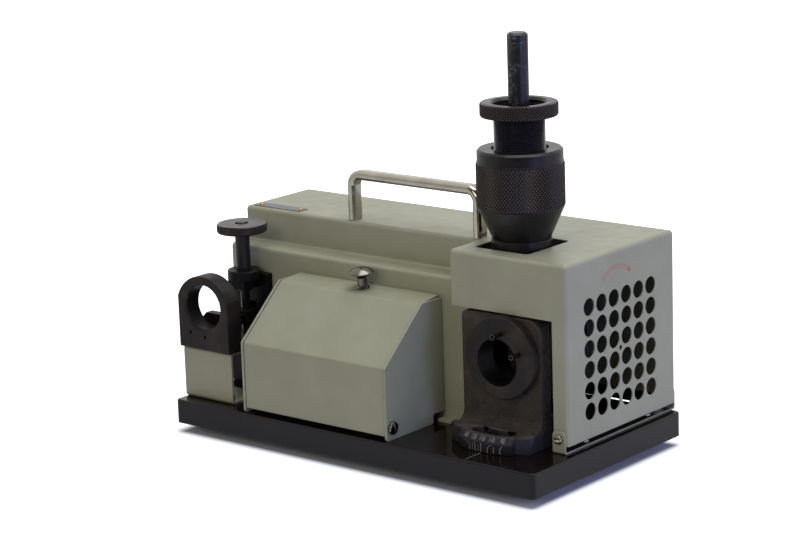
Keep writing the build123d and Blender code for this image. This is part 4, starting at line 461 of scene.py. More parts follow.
FOOT_HEIGHT = 16.65 * MM
SOCKET_DROP = 3.0 * MM
RIM_RADIUS = 83.0 * MM
RIM_HALF = 31.0 * MM
BEVEL_RUN = 5.0 * MM
BEVEL_RISE = 7.0 * MM
COVER_BEND = 6.0 * MM
COVER_SHEET = 1.5 * MM
base_low, base_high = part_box("base_plate")
base_top = base_high.z
foot_top = base_top + FOOT_HEIGHT
rim_edge = foot_top - BEVEL_RISE
cover_low, cover_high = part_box("wheel_cover")
casing_low, casing_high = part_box("motor_casing")
pivot = middle_of("swivel_pin")
socket_middle = (pivot.x, 0.0, middle_of("rotor_shaft").z - SOCKET_DROP)


# Finishes that change over a node

ENDLESS = 1.0
DUSTY_DEPTH = 1.0 * MM
CLEAN_DEPTH = 0.5 * MM
TRAY_EDGE = 4.0 * MM
SOCKET_RADIUS = 23.0 * MM
BORE_SKIN = 0.2 * MM
PAINT_DROP = 1.2 * MM
MASK_EDGE = 0.4 * MM
CLAMP_SLOT_HALF = 27.0 * MM
CLAMP_SLOT_FRONT = 75.0 * MM
# Painted shade, with grinding dust, on the inside of the wheel cover
DUST_AND_PAINTED_SHADE = srgb(118, 114, 98)
# Near-black painted shade, with grit, under the cover and in the socket's bore
GRIT_AND_PAINTED_SHADE = srgb(14, 12, 11)
FOOT_PAINT = srgb(36, 33, 36)
# Painted shade on the scale's upright rim and on the clamp slot's walls
PAINTED_SCALE_SHADE = srgb(9, 8, 9)


def vector(tree, operation, first, second):
    """A vector joined with a steady one."""
    made = add(tree, "ShaderNodeVectorMath", {"operation": operation})
    tree.links.new(first, made.inputs[0])
    made.inputs[1].default_value = second
    return made.outputs["Vector"]


def outside_box(tree, place, middle, half):
    """Distance of a place outside a box."""
    made = add(tree, "ShaderNodeVectorMath", {"operation": "ABSOLUTE"})
    tree.links.new(vector(tree, "SUBTRACT", place, middle), made.inputs[0])
    past = vector(tree, "SUBTRACT", made.outputs["Vector"], half)
    length = add(tree, "ShaderNodeVectorMath", {"operation": "LENGTH"})
    tree.links.new(vector(tree, "MAXIMUM", past, (0.0, 0.0, 0.0)), length.inputs[0])
    return length.outputs["Value"]


def coordinate(tree, place, axis):
    """One coordinate of a place."""
    parts = add(tree, "ShaderNodeSeparateXYZ")
    tree.links.new(place, parts.inputs["Vector"])
    return parts.outputs[axis]


def overlaid(finished, name, colour, mask):
    """A copy of a finish with a colour where a mask of the place lets it show."""
    made = finished.copy()
    made.name = name
    tree = made.node_tree
    shader = tree.nodes["Principled BSDF"]
    place = add(tree, "ShaderNodeTexCoord").outputs["Object"]
    plain = shader.inputs["Base Color"].links[0].from_socket
    tree.links.new(mixed(tree, mask(tree, place), plain, colour), shader.inputs["Base Color"])
    return made


def inside_cover(tree, place):
    """Inner side of the cover's sheet, which has rounded edges and is open below and to the left; it is
    painted darker, as shade with grinding dust.
    """
    low = cover_low - Vector((cover_high.x - cover_low.x, 0.0, cover_high.z - cover_low.z))
    bend = Vector((COVER_BEND, COVER_BEND, COVER_BEND))
    reach = outside_box(tree, place, (low + cover_high) / 2, (cover_high - low) / 2 - bend)
    return spread(tree, reach, 1.0, 0.0, COVER_BEND - DUSTY_DEPTH, COVER_BEND - CLEAN_DEPTH)


def under_cover(tree, place):
    """The floor of the tray, where the cover stands over it; painted near black, as shade with grit."""
    half = (cover_high - cover_low) / 2 - Vector((TRAY_EDGE, TRAY_EDGE, 0.0))
    half.z = cover_high.z
    distance = outside_box(tree, place, (cover_low + cover_high) / 2, half)
    return spread(tree, distance, 1.0, 0.0, 0.0, MASK_EDGE)


def inside_socket(tree, place):
    """Wall of the socket's bore, by the distance from its axis; painted near black, as shade in the bore.
    """
    distance = outside_box(tree, place, socket_middle, (0.0, ENDLESS, 0.0))
    wall = SOCKET_RADIUS + BORE_SKIN
    return spread(tree, distance, 1.0, 0.0, wall, wall + MASK_EDGE)


def below_foot_top(tree, place):
    """Sides of the swivelling foot, up to its top."""
    height = coordinate(tree, place, "Z")
    return spread(tree, height, 1.0, 0.0, foot_top - PAINT_DROP, foot_top - MASK_EDGE)


def painted_scale_shade(tree, place):
    """Painted shade: the scale's upright rim and the walls of the clamp slot, darkened because they lie
    in the dark.
    """
    rim = outside_box(tree, place, (pivot.x, pivot.y - RIM_RADIUS, 0.0), (RIM_HALF, RIM_RADIUS, rim_edge))
    slot_half = (CLAMP_SLOT_HALF, CLAMP_SLOT_FRONT, foot_top - PAINT_DROP)
    walls = outside_box(tree, place, (pivot.x, pivot.y, 0.0), slot_half)
    return spread(tree, both(tree, "MINIMUM", rim, walls), 1.0, 0.0, 0.0, MASK_EDGE)


def on_crests(axis, root, crest):
    """Mask of a relief round an upright axis, from halfway up to its crests."""

    def mask(tree, place):
        distance = outside_box(tree, place, (axis.x, axis.y, 0.0), (0.0, 0.0, ENDLESS))
        return spread(tree, distance, 0.0, 1.0, (root + crest) / 2, crest)

    return mask


PAINTED_FOOT = overlaid(FINISHES["black_casting"], "casting_painted_foot", FOOT_PAINT, below_foot_top)
OWN_FINISHES = {
    "wheel_cover": overlaid(FINISHES["olive_paint"], "olive_paint_dusty_and_shaded", DUST_AND_PAINTED_SHADE, inside_cover),
    "cover_tray": overlaid(FINISHES["olive_paint"], "olive_paint_shaded_under_cover", GRIT_AND_PAINTED_SHADE, under_cover),
    "socket_sleeve": overlaid(BROWNED, "browned_oxide_shaded_bore", GRIT_AND_PAINTED_SHADE, inside_socket),
    # The swivel's scale rim and clamp slot carry painted shade
    "swivel_socket": overlaid(PAINTED_FOOT, "casting_with_painted_scale_shade", PAINTED_SCALE_SHADE, painted_scale_shade),
    "socket_pins": OILED,
    "knob_screw": DULL_STEEL,
    "setting_ring": BROWNED,
    "setting_column": OILED,
    "setting_slide": OILED,
    "setting_bush": OILED,
    "clamp_screw": OILED,
    "clamp_washer": OILED,
    "lid_knob": WORN_NICKEL,
    "lid_knob_nut": WORN_NICKEL,
    "cover_screws": PASSIVATED,
    "lid_pins": WORN_NICKEL,
}
for name, material in OWN_FINISHES.items():
    frame["nodes"][name].data.materials[0] = material


# Mesh pieces

NODE_JOIN = 0.001 * MM
PIECE_JOIN = 0.002 * MM


def loose(name, data):
    """An object in the scene that rides on nothing yet."""
    made = bpy.data.objects.new(name, data)
    scene.collection.objects.link(made)
    return made


def piece(name, mesh, body, material, sharp=35.0):
    """A mesh as a piece that rides on a body, smooth except at sharp edges."""
    mesh.materials.append(material)
    for face in mesh.polygons:
        face.use_smooth = True
    mesh.set_sharp_from_angle(angle=math.radians(sharp))
    made = loose(name, mesh)
    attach(made, body)
    return made


def as_mesh(name, shape):
    """A finished shape as a mesh."""
    mesh = bpy.data.meshes.new(name)
    shape.to_mesh(mesh)
    shape.free()
    return mesh


def mesh_of(name, points, faces):
    """A closed mesh with its faces turned outwards and doubled points joined."""
    shape = bmesh.new()
    corners = [shape.verts.new(point) for point in points]
    for face in faces:
        if len(set(face)) == len(face):
            shape.faces.new([corners[i] for i in face])
    bmesh.ops.remove_doubles(shape, verts=shape.verts, dist=PIECE_JOIN)
    bmesh.ops.dissolve_degenerate(shape, edges=shape.edges, dist=PIECE_JOIN)
    bmesh.ops.recalc_face_normals(shape, faces=shape.faces)
    return as_mesh(name, shape)


def shape_of(node):
    """A node's shape with its doubled points joined."""
    shape = bmesh.new()
    shape.from_mesh(frame["nodes"][node].data)
    bmesh.ops.remove_doubles(shape, verts=shape.verts, dist=NODE_JOIN)
    return shape


def gathered(parts):
    """Points and faces of several shapes as one list of each."""
    points = []
    faces = []
    for part_points, part_faces in parts:
        start = len(points)
        points += part_points
        faces += [tuple(start + i for i in face) for face in part_faces]
    return points, faces


def band(first, second, count):
    """Faces between two closed loops of points, given where each loop starts."""
    pairs = [(side, (side + 1) % count) for side in range(count)]
    return [(first + side, first + after, second + after, second + side) for side, after in pairs]


def capped(points, count):
    """Points of loops listed one after the other, with faces that join the loops and close both ends."""
    last = len(points) - count
    faces = [tuple(range(count)), tuple(range(last, len(points)))]
    for start in range(0, last, count):
        faces += band(start, start + count, count)
    return points, faces


def on_circle(axis, radius, angle, height):
    """A point round an upright axis."""
    return Vector((axis.x + radius * math.cos(angle), axis.y + radius * math.sin(angle), height))


# Chuck and setting station: knurls and a thread

KNURL_SHARP = 12.0
THREAD_SHARP = 25.0
THREAD_SIDES = 96


def knurl(name, axis, heights, valley, peak, counts, body, wall=1.0 * MM):
    """Closed ring of small pyramids: peaks and valleys alternate on a grid, split along the valleys."""
    columns = counts[0] * 2
    rows = counts[1] * 2
    low, high = heights
    turns = [math.tau * column / columns for column in range(columns)]
    points = []
    for row in range(rows + 1):
        height = low + (high - low) * row / rows
        for column, turn in enumerate(turns):
            raised = 0 < row < rows and (row + column) % 2 == 0
            points.append(on_circle(axis, peak if raised else valley, turn, height))
    for height in heights:
        points += [on_circle(axis, valley - wall, turn, height) for turn in turns]
    faces = []
    for row in range(rows):
        for column, (a, b, c, d) in enumerate(band(row * columns, (row + 1) * columns, columns)):
            if (row + column) % 2 == 0:
                faces += [(a, b, d), (b, c, d)]
            else:
                faces += [(a, b, c), (a, c, d)]
    last = rows * columns
    bottom = last + columns
    top = bottom + columns
    faces += band(0, bottom, columns) + band(bottom, top, columns) + band(top, last, columns)
    # Crests lighter as rubbed steel and as a painted highlight
    material = overlaid(KNURLED, name + "_finish", RUBBED_CREST_AND_HIGHLIGHT, on_crests(axis, valley, peak))
    piece(name, mesh_of(name, points, faces), body, material, KNURL_SHARP)


def threaded_tube(name, axis, heights, root, crest, pitch, bore):
    """Mesh of a tube with a helical thread outside; bore is its inner profile from the lower end up.

    Rows of points wind up between the heights, in turn at the root and at the crest, two to a pitch.
    """
    sides = THREAD_SIDES
    low, high = heights
    rows = 2 * math.ceil((high - low) / pitch) + 4
    points = []
    for row in range(rows):
        for side in range(sides):
            turn = side / sides
            height = low - pitch + pitch * (row / 2 + turn)
            inside = low < height < high
            radius = crest if inside and row % 2 else root
            points.append(on_circle(axis, radius, math.tau * turn, min(max(height, low), high)))
    faces = []
    for row in range(rows - 1):
        for side in range(sides):
            after = (side + 1) % sides
            step = 2 if after == 0 else 0
            here = row * sides
            there = (row + step) * sides
            if row + 1 + step < rows:
                faces.append((here + side, there + after, there + sides + after, here + sides + side))
    loop = 0
    for radius, height in bore:
        start = len(points)
        points += [on_circle(axis, radius, math.tau * side / sides, height) for side in range(sides)]
        faces += band(loop, start, sides)
        loop = start
    faces += band(loop, (rows - 1) * sides, sides)
    return mesh_of(name, points, faces)


GRIP_KNURL_DROP = 43.4 * MM
GRIP_KNURL_GAP = 0.8 * MM
RING_KNURL_INSET = 0.5 * MM
KNOB_KNURL_INSET = 0.9 * MM
THREAD_ROOT = 23.7 * MM
THREAD_CREST = 24.7 * MM
THREAD_PITCH = 1.5 * MM
TUBE_BORE = 20.7 * MM
TUBE_FLOOR = 8.0 * MM
TUBE_FLOOR_BORE = 12.0 * MM
chuck_axis = middle_of("chuck_collar")
grip_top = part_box("chuck_collar")[0].z
ring_low, ring_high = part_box("draw_ring")
tube_low, tube_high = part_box("draw_tube")
knob_low, knob_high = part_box("setting_knob")
knurl(
    "grip_knurl",
    chuck_axis,
    heights=(grip_top - GRIP_KNURL_DROP, grip_top - GRIP_KNURL_GAP),
    valley=41.62 * MM,
    peak=42.5 * MM,
    counts=(78, 10),
    body="chuck",
)
knurl(
    "draw_ring_knurl",
    chuck_axis,
    heights=(ring_low.z + RING_KNURL_INSET, ring_high.z - RING_KNURL_INSET),
    valley=36.62 * MM,
    peak=37.5 * MM,
    counts=(68, 4),
    body="draw_ring",
    wall=3.0 * MM,
)
tube_mesh = threaded_tube(
    "draw_tube_threaded",
    chuck_axis,
    (tube_low.z, tube_high.z),
    THREAD_ROOT,
    THREAD_CREST,
    THREAD_PITCH,
    bore=[
        (TUBE_FLOOR_BORE, tube_low.z),
        (TUBE_FLOOR_BORE, tube_low.z + TUBE_FLOOR),
        (TUBE_BORE, tube_low.z + TUBE_FLOOR),
        (TUBE_BORE, tube_high.z),
    ],
)
# The thread's crests carry a painted highlight
crest_highlighted = overlaid(
    THREAD, "draw_tube_thread_painted_highlight", PAINTED_THREAD_HIGHLIGHT, on_crests(chuck_axis, THREAD_ROOT, THREAD_CREST)
)
tube = piece("draw_tube_threaded", tube_mesh, "draw_tube", crest_highlighted, THREAD_SHARP)
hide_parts("draw_tube")
knurl(
    "setting_knob_knurl",
    middle_of("setting_knob"),
    heights=(knob_low.z + KNOB_KNURL_INSET, knob_high.z - KNOB_KNURL_INSET),
    valley=25.22 * MM,
    peak=25.7 * MM,
    counts=(76, 3),
    body="spindle",
)


# Screw heads

HEAD_RIM_SHARE = 0.98
RECESS_TURN = math.radians(98)
RECESS_WIDTH = 1.2 * MM
CROSS_REACH = 2.5 * MM
CROSS_DEPTH = 1.3 * MM
SLOT_REACH = 8.0 * MM
SLOT_DEPTH = 1.2 * MM
CROSS_SCREWS = (
    "foot_screws",
    "base_screws",
    "handle_screws",
    "ring_screws",
    "column_screws",
    "port_screws",
    "knob_screw",
)
SLOTTED_SCREWS = ("cover_screws", "lid_pins")


def cross_cutter(place, out, turn, reach, side_reach, depth):
    """Points and faces of a cross-shaped prism that sinks into a head from its top."""
    half = RECESS_WIDTH / 2
    outline = []
    for quarter in range(4):
        arm = side_reach if quarter % 2 else reach
        rotation = Matrix.Rotation(quarter * math.pi / 2 + turn, 2)
        outline += [rotation @ Vector(point) for point in ((half, half), (half, arm), (-half, arm))]
    head_frame = out.to_track_quat("Z", "Y").to_matrix()
    points = [place + head_frame @ Vector((x, y, z)) for z in (-depth, depth) for x, y in outline]
    return capped(points, len(outline))


def cross(place, out, turn):
    """A cross recess in a head."""
    return cross_cutter(place, out, turn, CROSS_REACH, CROSS_REACH, CROSS_DEPTH)


def slotted(place, out, turn):
    """A straight slot right across a head: a cross with two arms no longer than half its width."""
    return cross_cutter(place, out, turn, SLOT_REACH, RECESS_WIDTH / 2, SLOT_DEPTH)


def head_of(points):
    """Middle of the top of a screw's head, and the way it faces."""
    low = Vector([min(point[i] for point in points) for i in range(3)])
    high = Vector([max(point[i] for point in points) for i in range(3)])
    size = high - low
    axis = min(range(3), key=lambda i: abs(size[(i + 1) % 3] - size[(i + 2) % 3]))
    middle = (low + high) / 2

    def width(point):
        offset = point - middle
        offset[axis] = 0.0
        return offset.length

    widest = max(width(point) for point in points)
    rim = [point[axis] for point in points if width(point) > HEAD_RIM_SHARE * widest]
    faces_up = sum(rim) / len(rim) > middle[axis]
    out = Vector((0.0, 0.0, 0.0))
    out[axis] = 1.0 if faces_up else -1.0
    middle[axis] = high[axis] if faces_up else low[axis]
    return middle, out


def islands(shape):
    """Points of each separate solid of a mesh."""
    unseen = set(shape.verts)
    groups = []
    while unseen:
        group = [unseen.pop()]
        for vert in group:
            joined = [edge.other_vert(vert) for edge in vert.link_edges]
            joined = [other for other in joined if other in unseen]
            unseen.difference_update(joined)
            group += joined
        groups.append([vert.co.copy() for vert in group])
    return groups


def screw_heads(node):
    """Place and way out of each head in a node, in a steady order."""
    shape = shape_of(node)
    heads = [head_of(points) for points in islands(shape)]
    shape.free()
    return sorted(heads, key=lambda head: tuple(head[0]))


def evaluated_mesh(made):
    """What an object looks like with its modifiers or its text, as a bare mesh; the object goes."""
    depsgraph = bpy.context.evaluated_depsgraph_get()
    mesh = bpy.data.meshes.new_from_object(made.evaluated_get(depsgraph))
    bpy.data.objects.remove(made)
    mesh.materials.clear()
    return mesh


def carved(node, cutters):
    """A node's mesh with cutters taken away from it."""
    cutter = loose(node + "_cutter", mesh_of(node + "_cutter", *gathered(cutters)))
    blank = loose(node + "_blank", as_mesh(node + "_blank", shape_of(node)))
    cut = blank.modifiers.new("recess", "BOOLEAN")
    cut.operation = "DIFFERENCE"
    cut.solver = "EXACT"
    cut.object = cutter
    mesh = evaluated_mesh(blank)
    bpy.data.objects.remove(cutter)
    return mesh


def recessed(node, cutter):
    """A node's screws again, with a drive recess in each head."""
    material = frame["nodes"][node].data.materials[0]
    cutters = [cutter(place, out, RECESS_TURN * i) for i, (place, out) in enumerate(screw_heads(node), 1)]
    made = piece(node + "_recessed", carved(node, cutters), BODY_OF[node], material)
    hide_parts(node)


for screws in CROSS_SCREWS:
    recessed(screws, cross)
for screws in SLOTTED_SCREWS:
    recessed(screws, slotted)


# Fuller section of the carrying handle

HANDLE_GROWTH = 0.9 * MM
HANDLE_HALF = 4.0 * MM
HANDLE_BORE = 3.5 * MM
HANDLE_BORE_DEPTH = 13.0 * MM
HANDLE_SOLE = 0.1 * MM


def fuller_handle():
    """The handle's mesh with its outside moved out; its feet stay level and their bores as they are."""
    low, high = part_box("carry_handle")
    feet = (low.x + HANDLE_HALF, high.x - HANDLE_HALF)
    shape = shape_of("carry_handle")
    shape.normal_update()
    moves = []
    for vert in shape.verts:
        across = abs(vert.co.y - (low.y + high.y) / 2)
        aside = min(abs(vert.co.x - foot) for foot in feet)
        if vert.co.z < low.z + HANDLE_BORE_DEPTH and math.hypot(across, aside) < HANDLE_BORE:
            continue
        outwards = vert.normal.copy()
        if vert.co.z < low.z + HANDLE_SOLE:
            outwards.z = 0.0
        moves.append((vert, outwards.normalized() * HANDLE_GROWTH))
    for vert, move in moves:
        vert.co += move
    return as_mesh("carry_handle_full", shape)


handle = piece("carry_handle_full", fuller_handle(), "frame", FINISHES["nickel"])
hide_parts("carry_handle")


# Facets beside the scale of the swivelling foot

FACET_FRONT = 71.6 * MM
FACET_END = 65.8 * MM
FACET_PAST = 0.5 * MM
FACET_CLEAR = 30.0 * MM
FACET_HEIGHTS = (-1.0 * MM, 25.0 * MM)


def facet_cutter(side, edge):
    """Prism beside the scale that leaves a flat, upright facet out to the foot's side edge."""
    beyond = edge + side * FACET_CLEAR
    plan = [
        (side * RIM_HALF, FACET_FRONT),
        (edge + side * FACET_PAST, FACET_END),
        (beyond, FACET_END),
        (beyond, FACET_FRONT + FACET_CLEAR),
        (side * RIM_HALF, FACET_FRONT + FACET_CLEAR),
    ]
    points = [
        Vector((pivot.x + aside, pivot.y - ahead, base_top + height))
        for height in FACET_HEIGHTS
        for aside, ahead in plan
    ]
    return capped(points, len(plan))


swivel_low, swivel_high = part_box("swivel_socket")
facets = [facet_cutter(-1, swivel_low.x - pivot.x), facet_cutter(1, swivel_high.x - pivot.x)]
faceted = piece(
    "swivel_socket_faceted",
    carved("swivel_socket", facets),
    "swivel",
    OWN_FINISHES["swivel_socket"],
)
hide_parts("swivel_socket")


# Scale on the swivelling foot, with its line on the base

INK = 0.12 * MM
SINK = 0.05 * MM
FIGURE_HEIGHT = 5.0 * MM
FIGURE_SQUEEZE = 0.62
CAP_SHARE = 0.7
TICK_WIDTH = 0.75 * MM
PLAIN_TICK_WIDTH = 0.5 * MM
INDEX_HALF = 0.22 * MM
INDEX_INSET = 3.0 * MM
INDEX_GAP = 0.5 * MM
UPWARDS = Vector((0.0, 0.0, 1.0))

# For each figure its angle in degrees, and its tick as angles and millimetres below the bevel
SCALE = {
    "140": (-15.2, [(-14.6, 0.3), (-10.0, 2.6), (-10.0, 8.6)]),
    "130": (-7.4, [(-6.2, 0.3), (-5.0, 2.4), (-5.0, 8.6)]),
    "118": (-0.1, [(0.0, 0.3), (0.0, 8.6)]),
    "110": (7.5, [(7.6, 0.3), (5.0, 3.8), (5.0, 8.6)]),
    "90": (15.6, [(15.8, 0.3), (14.2, 3.8), (14.2, 8.6)]),
}
PLAIN_TICKS = (-7.4, -2.4, 9.6)
PLAIN_TICK_DROPS = (2.5, 8.6)


def from_pivot(angle, radius, height):
    """A point at an angle from straight ahead, about the swivel's pivot."""
    return Vector((pivot.x + radius * math.sin(angle), pivot.y - radius * math.cos(angle), height))


def strip(stations):
    """Points and faces of a thin closed strip; a station is its left and right points and the way out."""
    points = []
    for left, right, out in stations:
        points += [left - SINK * out, right - SINK * out, right + INK * out, left + INK * out]
    return capped(points, 4)


def rim_line(path, width):
    """A line down the rim; path is angles in degrees and millimetres below the bevel."""
    stations = []
    half = width / 2 / RIM_RADIUS
    for degrees, drop in path:
        angle = math.radians(degrees)
        height = rim_edge - drop * MM
        left = from_pivot(angle - half, RIM_RADIUS, height)
        right = from_pivot(angle + half, RIM_RADIUS, height)
        stations.append((left, right, Vector((math.sin(angle), -math.cos(angle), 0.0))))
    return strip(stations)


def figure(text, degrees):
    """A number on the rim's bevel."""
    curve = bpy.data.curves.new("figure", "FONT")
    curve.body = text
    curve.align_x = "CENTER"
    curve.align_y = "CENTER"
    curve.size = FIGURE_HEIGHT / CAP_SHARE
    curve.extrude = INK
    mesh = evaluated_mesh(loose("figure", curve))
    length = math.hypot(BEVEL_RUN, BEVEL_RISE)
    for vert in mesh.vertices:
        across, above, lift = vert.co
        angle = math.radians(degrees) + across * FIGURE_SQUEEZE / RIM_RADIUS
        share = 0.5 + above / length
        radius = RIM_RADIUS - share * BEVEL_RUN + lift * BEVEL_RISE / length
        height = rim_edge + share * BEVEL_RISE + lift * BEVEL_RUN / length
        vert.co = from_pivot(angle, radius, height)
    piece("scale_" + text, mesh, "swivel", PALE_INK)


ticks = []
for text, (degrees, path) in SCALE.items():
    figure(text, degrees)
    ticks.append(rim_line(path, TICK_WIDTH))
for degrees in PLAIN_TICKS:
    ticks.append(rim_line([(degrees, drop) for drop in PLAIN_TICK_DROPS], PLAIN_TICK_WIDTH))
piece("scale_ticks", mesh_of("scale_ticks", *gathered(ticks)), "swivel", PALE_INK)

index_stations = []
for y in (base_low.y + INDEX_INSET, pivot.y - RIM_RADIUS - INDEX_GAP):
    left, right = [Vector((pivot.x + side * INDEX_HALF, y, base_top)) for side in (-1, 1)]
    index_stations.append((left, right, UPWARDS))
piece("index_line", mesh_of("index_line", *strip(index_stations)), "frame", PALE_INK)


# Hollow pins that stand forward from the socket's flange

PIN_RADIUS = 2.4 * MM
PIN_BORE = 1.7 * MM
PIN_LENGTH = 12.5 * MM
PIN_BORE_DEPTH = 8.0 * MM
PIN_CIRCLE = 28.5 * MM
PIN_ANGLES = (80.3, 23.6)
PIN_SIDES = 24
PIN_END = srgb(74, 72, 69)
BRIGHT_DEPTH = 0.2 * MM
DARK_DEPTH = 0.5 * MM
flange_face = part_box("socket_sleeve")[0].y
pin_tip = flange_face - PIN_LENGTH


def hollow_pin(degrees):
    """Points and faces of a pin on the flange's face, bored from its front end."""
    angle = math.radians(degrees)
    x = socket_middle[0] + PIN_CIRCLE * math.cos(angle)
    z = socket_middle[2] + PIN_CIRCLE * math.sin(angle)
    profile = (
        (PIN_RADIUS, flange_face + SINK),
        (PIN_RADIUS, pin_tip),
        (PIN_BORE, pin_tip),
        (PIN_BORE, pin_tip + PIN_BORE_DEPTH),
    )
    points = []
    for radius, y in profile:
        for side in range(PIN_SIDES):
            turn = math.tau * side / PIN_SIDES
            points.append(Vector((x + radius * math.cos(turn), y, z + radius * math.sin(turn))))
    return capped(points, PIN_SIDES)


def at_tips(tree, place):
    """Front ends of the pins."""
    ahead = coordinate(tree, place, "Y")
    return spread(tree, ahead, 1.0, 0.0, pin_tip + BRIGHT_DEPTH, pin_tip + DARK_DEPTH)


piece(
    "follower_pins",
    mesh_of("follower_pins", *gathered([hollow_pin(degrees) for degrees in PIN_ANGLES])),
    "swivel",
    overlaid(OILED, "bright_pin_ends", PIN_END, at_tips),
)


# Dark rubber lips inside the cover, put there to keep its inside in shade, and the bare plate on the
# casing

LIP = 1.5 * MM
LIP_EDGE = 0.2 * MM
LIP_HEIGHT = 13.0 * MM
LIP_RIGHT_INSET = 24.0 * MM
LIP_STEP = 10.0 * MM
LIP_CASING_GAP = 2.0 * MM
PLATE_SIZE = Vector((62.0, 14.0, 0.8)) * MM
PLATE_EDGE = 0.25 * MM
PLATE_INSET = 6.0 * MM
PLATE_FRONT = -0.5 * MM
PLATE_SCREW_INSET = 4.5 * MM
PLATE_SCREW = Vector((2.7, 2.7, 1.4)) * MM


def solid(name, make, size, places, edge=0.0):
    """Copies of a unit shape, each scaled to a size and set at a place, as one mesh."""
    shape = bmesh.new()
    for place in places:
        made = make(shape)["verts"]
        bmesh.ops.scale(shape, vec=size, verts=made)
        bmesh.ops.translate(shape, vec=place, verts=made)
    if edge:
        bmesh.ops.bevel(shape, geom=shape.edges[:], offset=edge, segments=2, affect="EDGES")
    return as_mesh(name, shape)


def cube(shape):
    """A cube with sides of one."""
    return bmesh.ops.create_cube(shape, size=1.0)


def ball(shape):
    """A ball with a radius of one."""
    return bmesh.ops.create_uvsphere(shape, u_segments=24, v_segments=12, radius=1.0)


lip_left = cover_low.x + COVER_SHEET
lip_right = cover_high.x - LIP_RIGHT_INSET
lip_back = cover_high.y - COVER_SHEET
lip_front = casing_high.y + LIP_CASING_GAP
lip_step = (lip_left + lip_right) / 2 - LIP_STEP
# The lips block the light that comes in under the cover's edge, so the inside shows dark through the
# holes
# Each lip has two corners in plan and a gap over the base; the corner's lip is pressed into the base
for name, low, high, gap in (
    ("rear_shading_lip", (lip_step, lip_back - LIP), (lip_right, lip_back), 0.9 * MM),
    ("corner_shading_lip", (lip_left, lip_back - LIP), (lip_step, lip_back), -0.2 * MM),
    ("side_shading_lip", (lip_left, lip_front), (lip_left + LIP, lip_back - LIP), 0.1 * MM),
):
    lowest = Vector((*low, base_top + gap))
    highest = Vector((*high, base_top + LIP_HEIGHT))
    lip_mesh = solid(name, cube, highest - lowest, [(lowest + highest) / 2], LIP_EDGE)
    piece(name, lip_mesh, "frame", FINISHES["rubber"])

plate_low = Vector((casing_low.x + PLATE_INSET, PLATE_FRONT, casing_high.z))
plate_middle = plate_low + PLATE_SIZE / 2
plate_mesh = solid("blank_plate", cube, PLATE_SIZE, [plate_middle], PLATE_EDGE)
piece("blank_plate", plate_mesh, "frame", PLATE)
plate_top = plate_low.z + PLATE_SIZE.z
screw_reach = PLATE_SIZE.x / 2 - PLATE_SCREW_INSET
plate_screws = [Vector((plate_middle.x + s * screw_reach, plate_middle.y, plate_top)) for s in (-1, 1)]
piece("plate_screws", solid("plate_screws", ball, PLATE_SCREW, plate_screws), "frame", BRASS)


# Arrow on the cover

ARROW_MIDDLE = Vector((cover_high.x, 23.0 * MM, 165.0 * MM))
ARROW_RADIUS = 34.0 * MM
ARROW_HALF_ANGLE = 44.0
ARROW_HEAD = 9.0
ARROW_STEPS = 24
ARROW_LINE_OFFSET = 1.4 * MM
ARROW_LINE_HALF = 0.3 * MM
ARROW_HEAD_HALF = 3.0 * MM
ARROW_TIP_HALF = 0.05 * MM


def arrow_station(degrees, offset, half_width):
    """Two points across a line of the arrow; the angle goes from straight up towards the back."""
    angle = math.radians(degrees)
    spoke = Vector((0.0, math.sin(angle), math.cos(angle)))
    inner = ARROW_MIDDLE + (ARROW_RADIUS + offset - half_width) * spoke
    outer = ARROW_MIDDLE + (ARROW_RADIUS + offset + half_width) * spoke
    return inner, outer, Vector((1.0, 0.0, 0.0))


def arrow_line(offset, start, end):
    """A thin arc beside the arrow's middle line."""
    steps = [start + (end - start) * i / ARROW_STEPS for i in range(ARROW_STEPS + 1)]
    return strip([arrow_station(degrees, offset, ARROW_LINE_HALF) for degrees in steps])


neck = ARROW_HALF_ANGLE - ARROW_HEAD
arrow = [arrow_line(side * ARROW_LINE_OFFSET, -ARROW_HALF_ANGLE, neck) for side in (-1, 1)]
arrow_head = [
    arrow_station(neck, 0.0, ARROW_HEAD_HALF),
    arrow_station(ARROW_HALF_ANGLE, 0.0, ARROW_TIP_HALF),
]
arrow.append(strip(arrow_head))
piece("turning_arrow", mesh_of("turning_arrow", *gathered(arrow)), "frame", RED_INK)


# Camera

CAMERA_AZIMUTH = math.radians(39.86)
CAMERA_ELEVATION = math.radians(13.39)
CAMERA_ROLL = math.radians(-1.95)
CAMERA_DISTANCE = 2608.7 * MM
CAMERA_TARGET = Vector((1.25, -5.0, 120.0)) * MM
CAMERA_OFFSET = (20.4 * MM, -55.3 * MM)
FOCAL_PIXELS = 2635.0
IMAGE_WIDTH = 800
SENSOR_WIDTH = 36.0

back = Vector(
    (
        math.sin(CAMERA_AZIMUTH) * math.cos(CAMERA_ELEVATION),
        -math.cos(CAMERA_AZIMUTH) * math.cos(CAMERA_ELEVATION),
        math.sin(CAMERA_ELEVATION),
    )
)
level = Vector((math.cos(CAMERA_AZIMUTH), math.sin(CAMERA_AZIMUTH), 0.0))
rise = back.cross(level)
right = math.cos(CAMERA_ROLL) * level + math.sin(CAMERA_ROLL) * rise
up = -math.sin(CAMERA_ROLL) * level + math.cos(CAMERA_ROLL) * rise
camera_data = bpy.data.cameras.new("camera")
camera_data.sensor_width = SENSOR_WIDTH
camera_data.lens = FOCAL_PIXELS / IMAGE_WIDTH * SENSOR_WIDTH
camera = loose("camera", camera_data)
spot = CAMERA_TARGET - CAMERA_OFFSET[0] * right - CAMERA_OFFSET[1] * up + CAMERA_DISTANCE * back
camera.matrix_world = Matrix.Translation(spot) @ Matrix((right, up, back)).transposed().to_4x4()
scene.camera = camera


# Floor

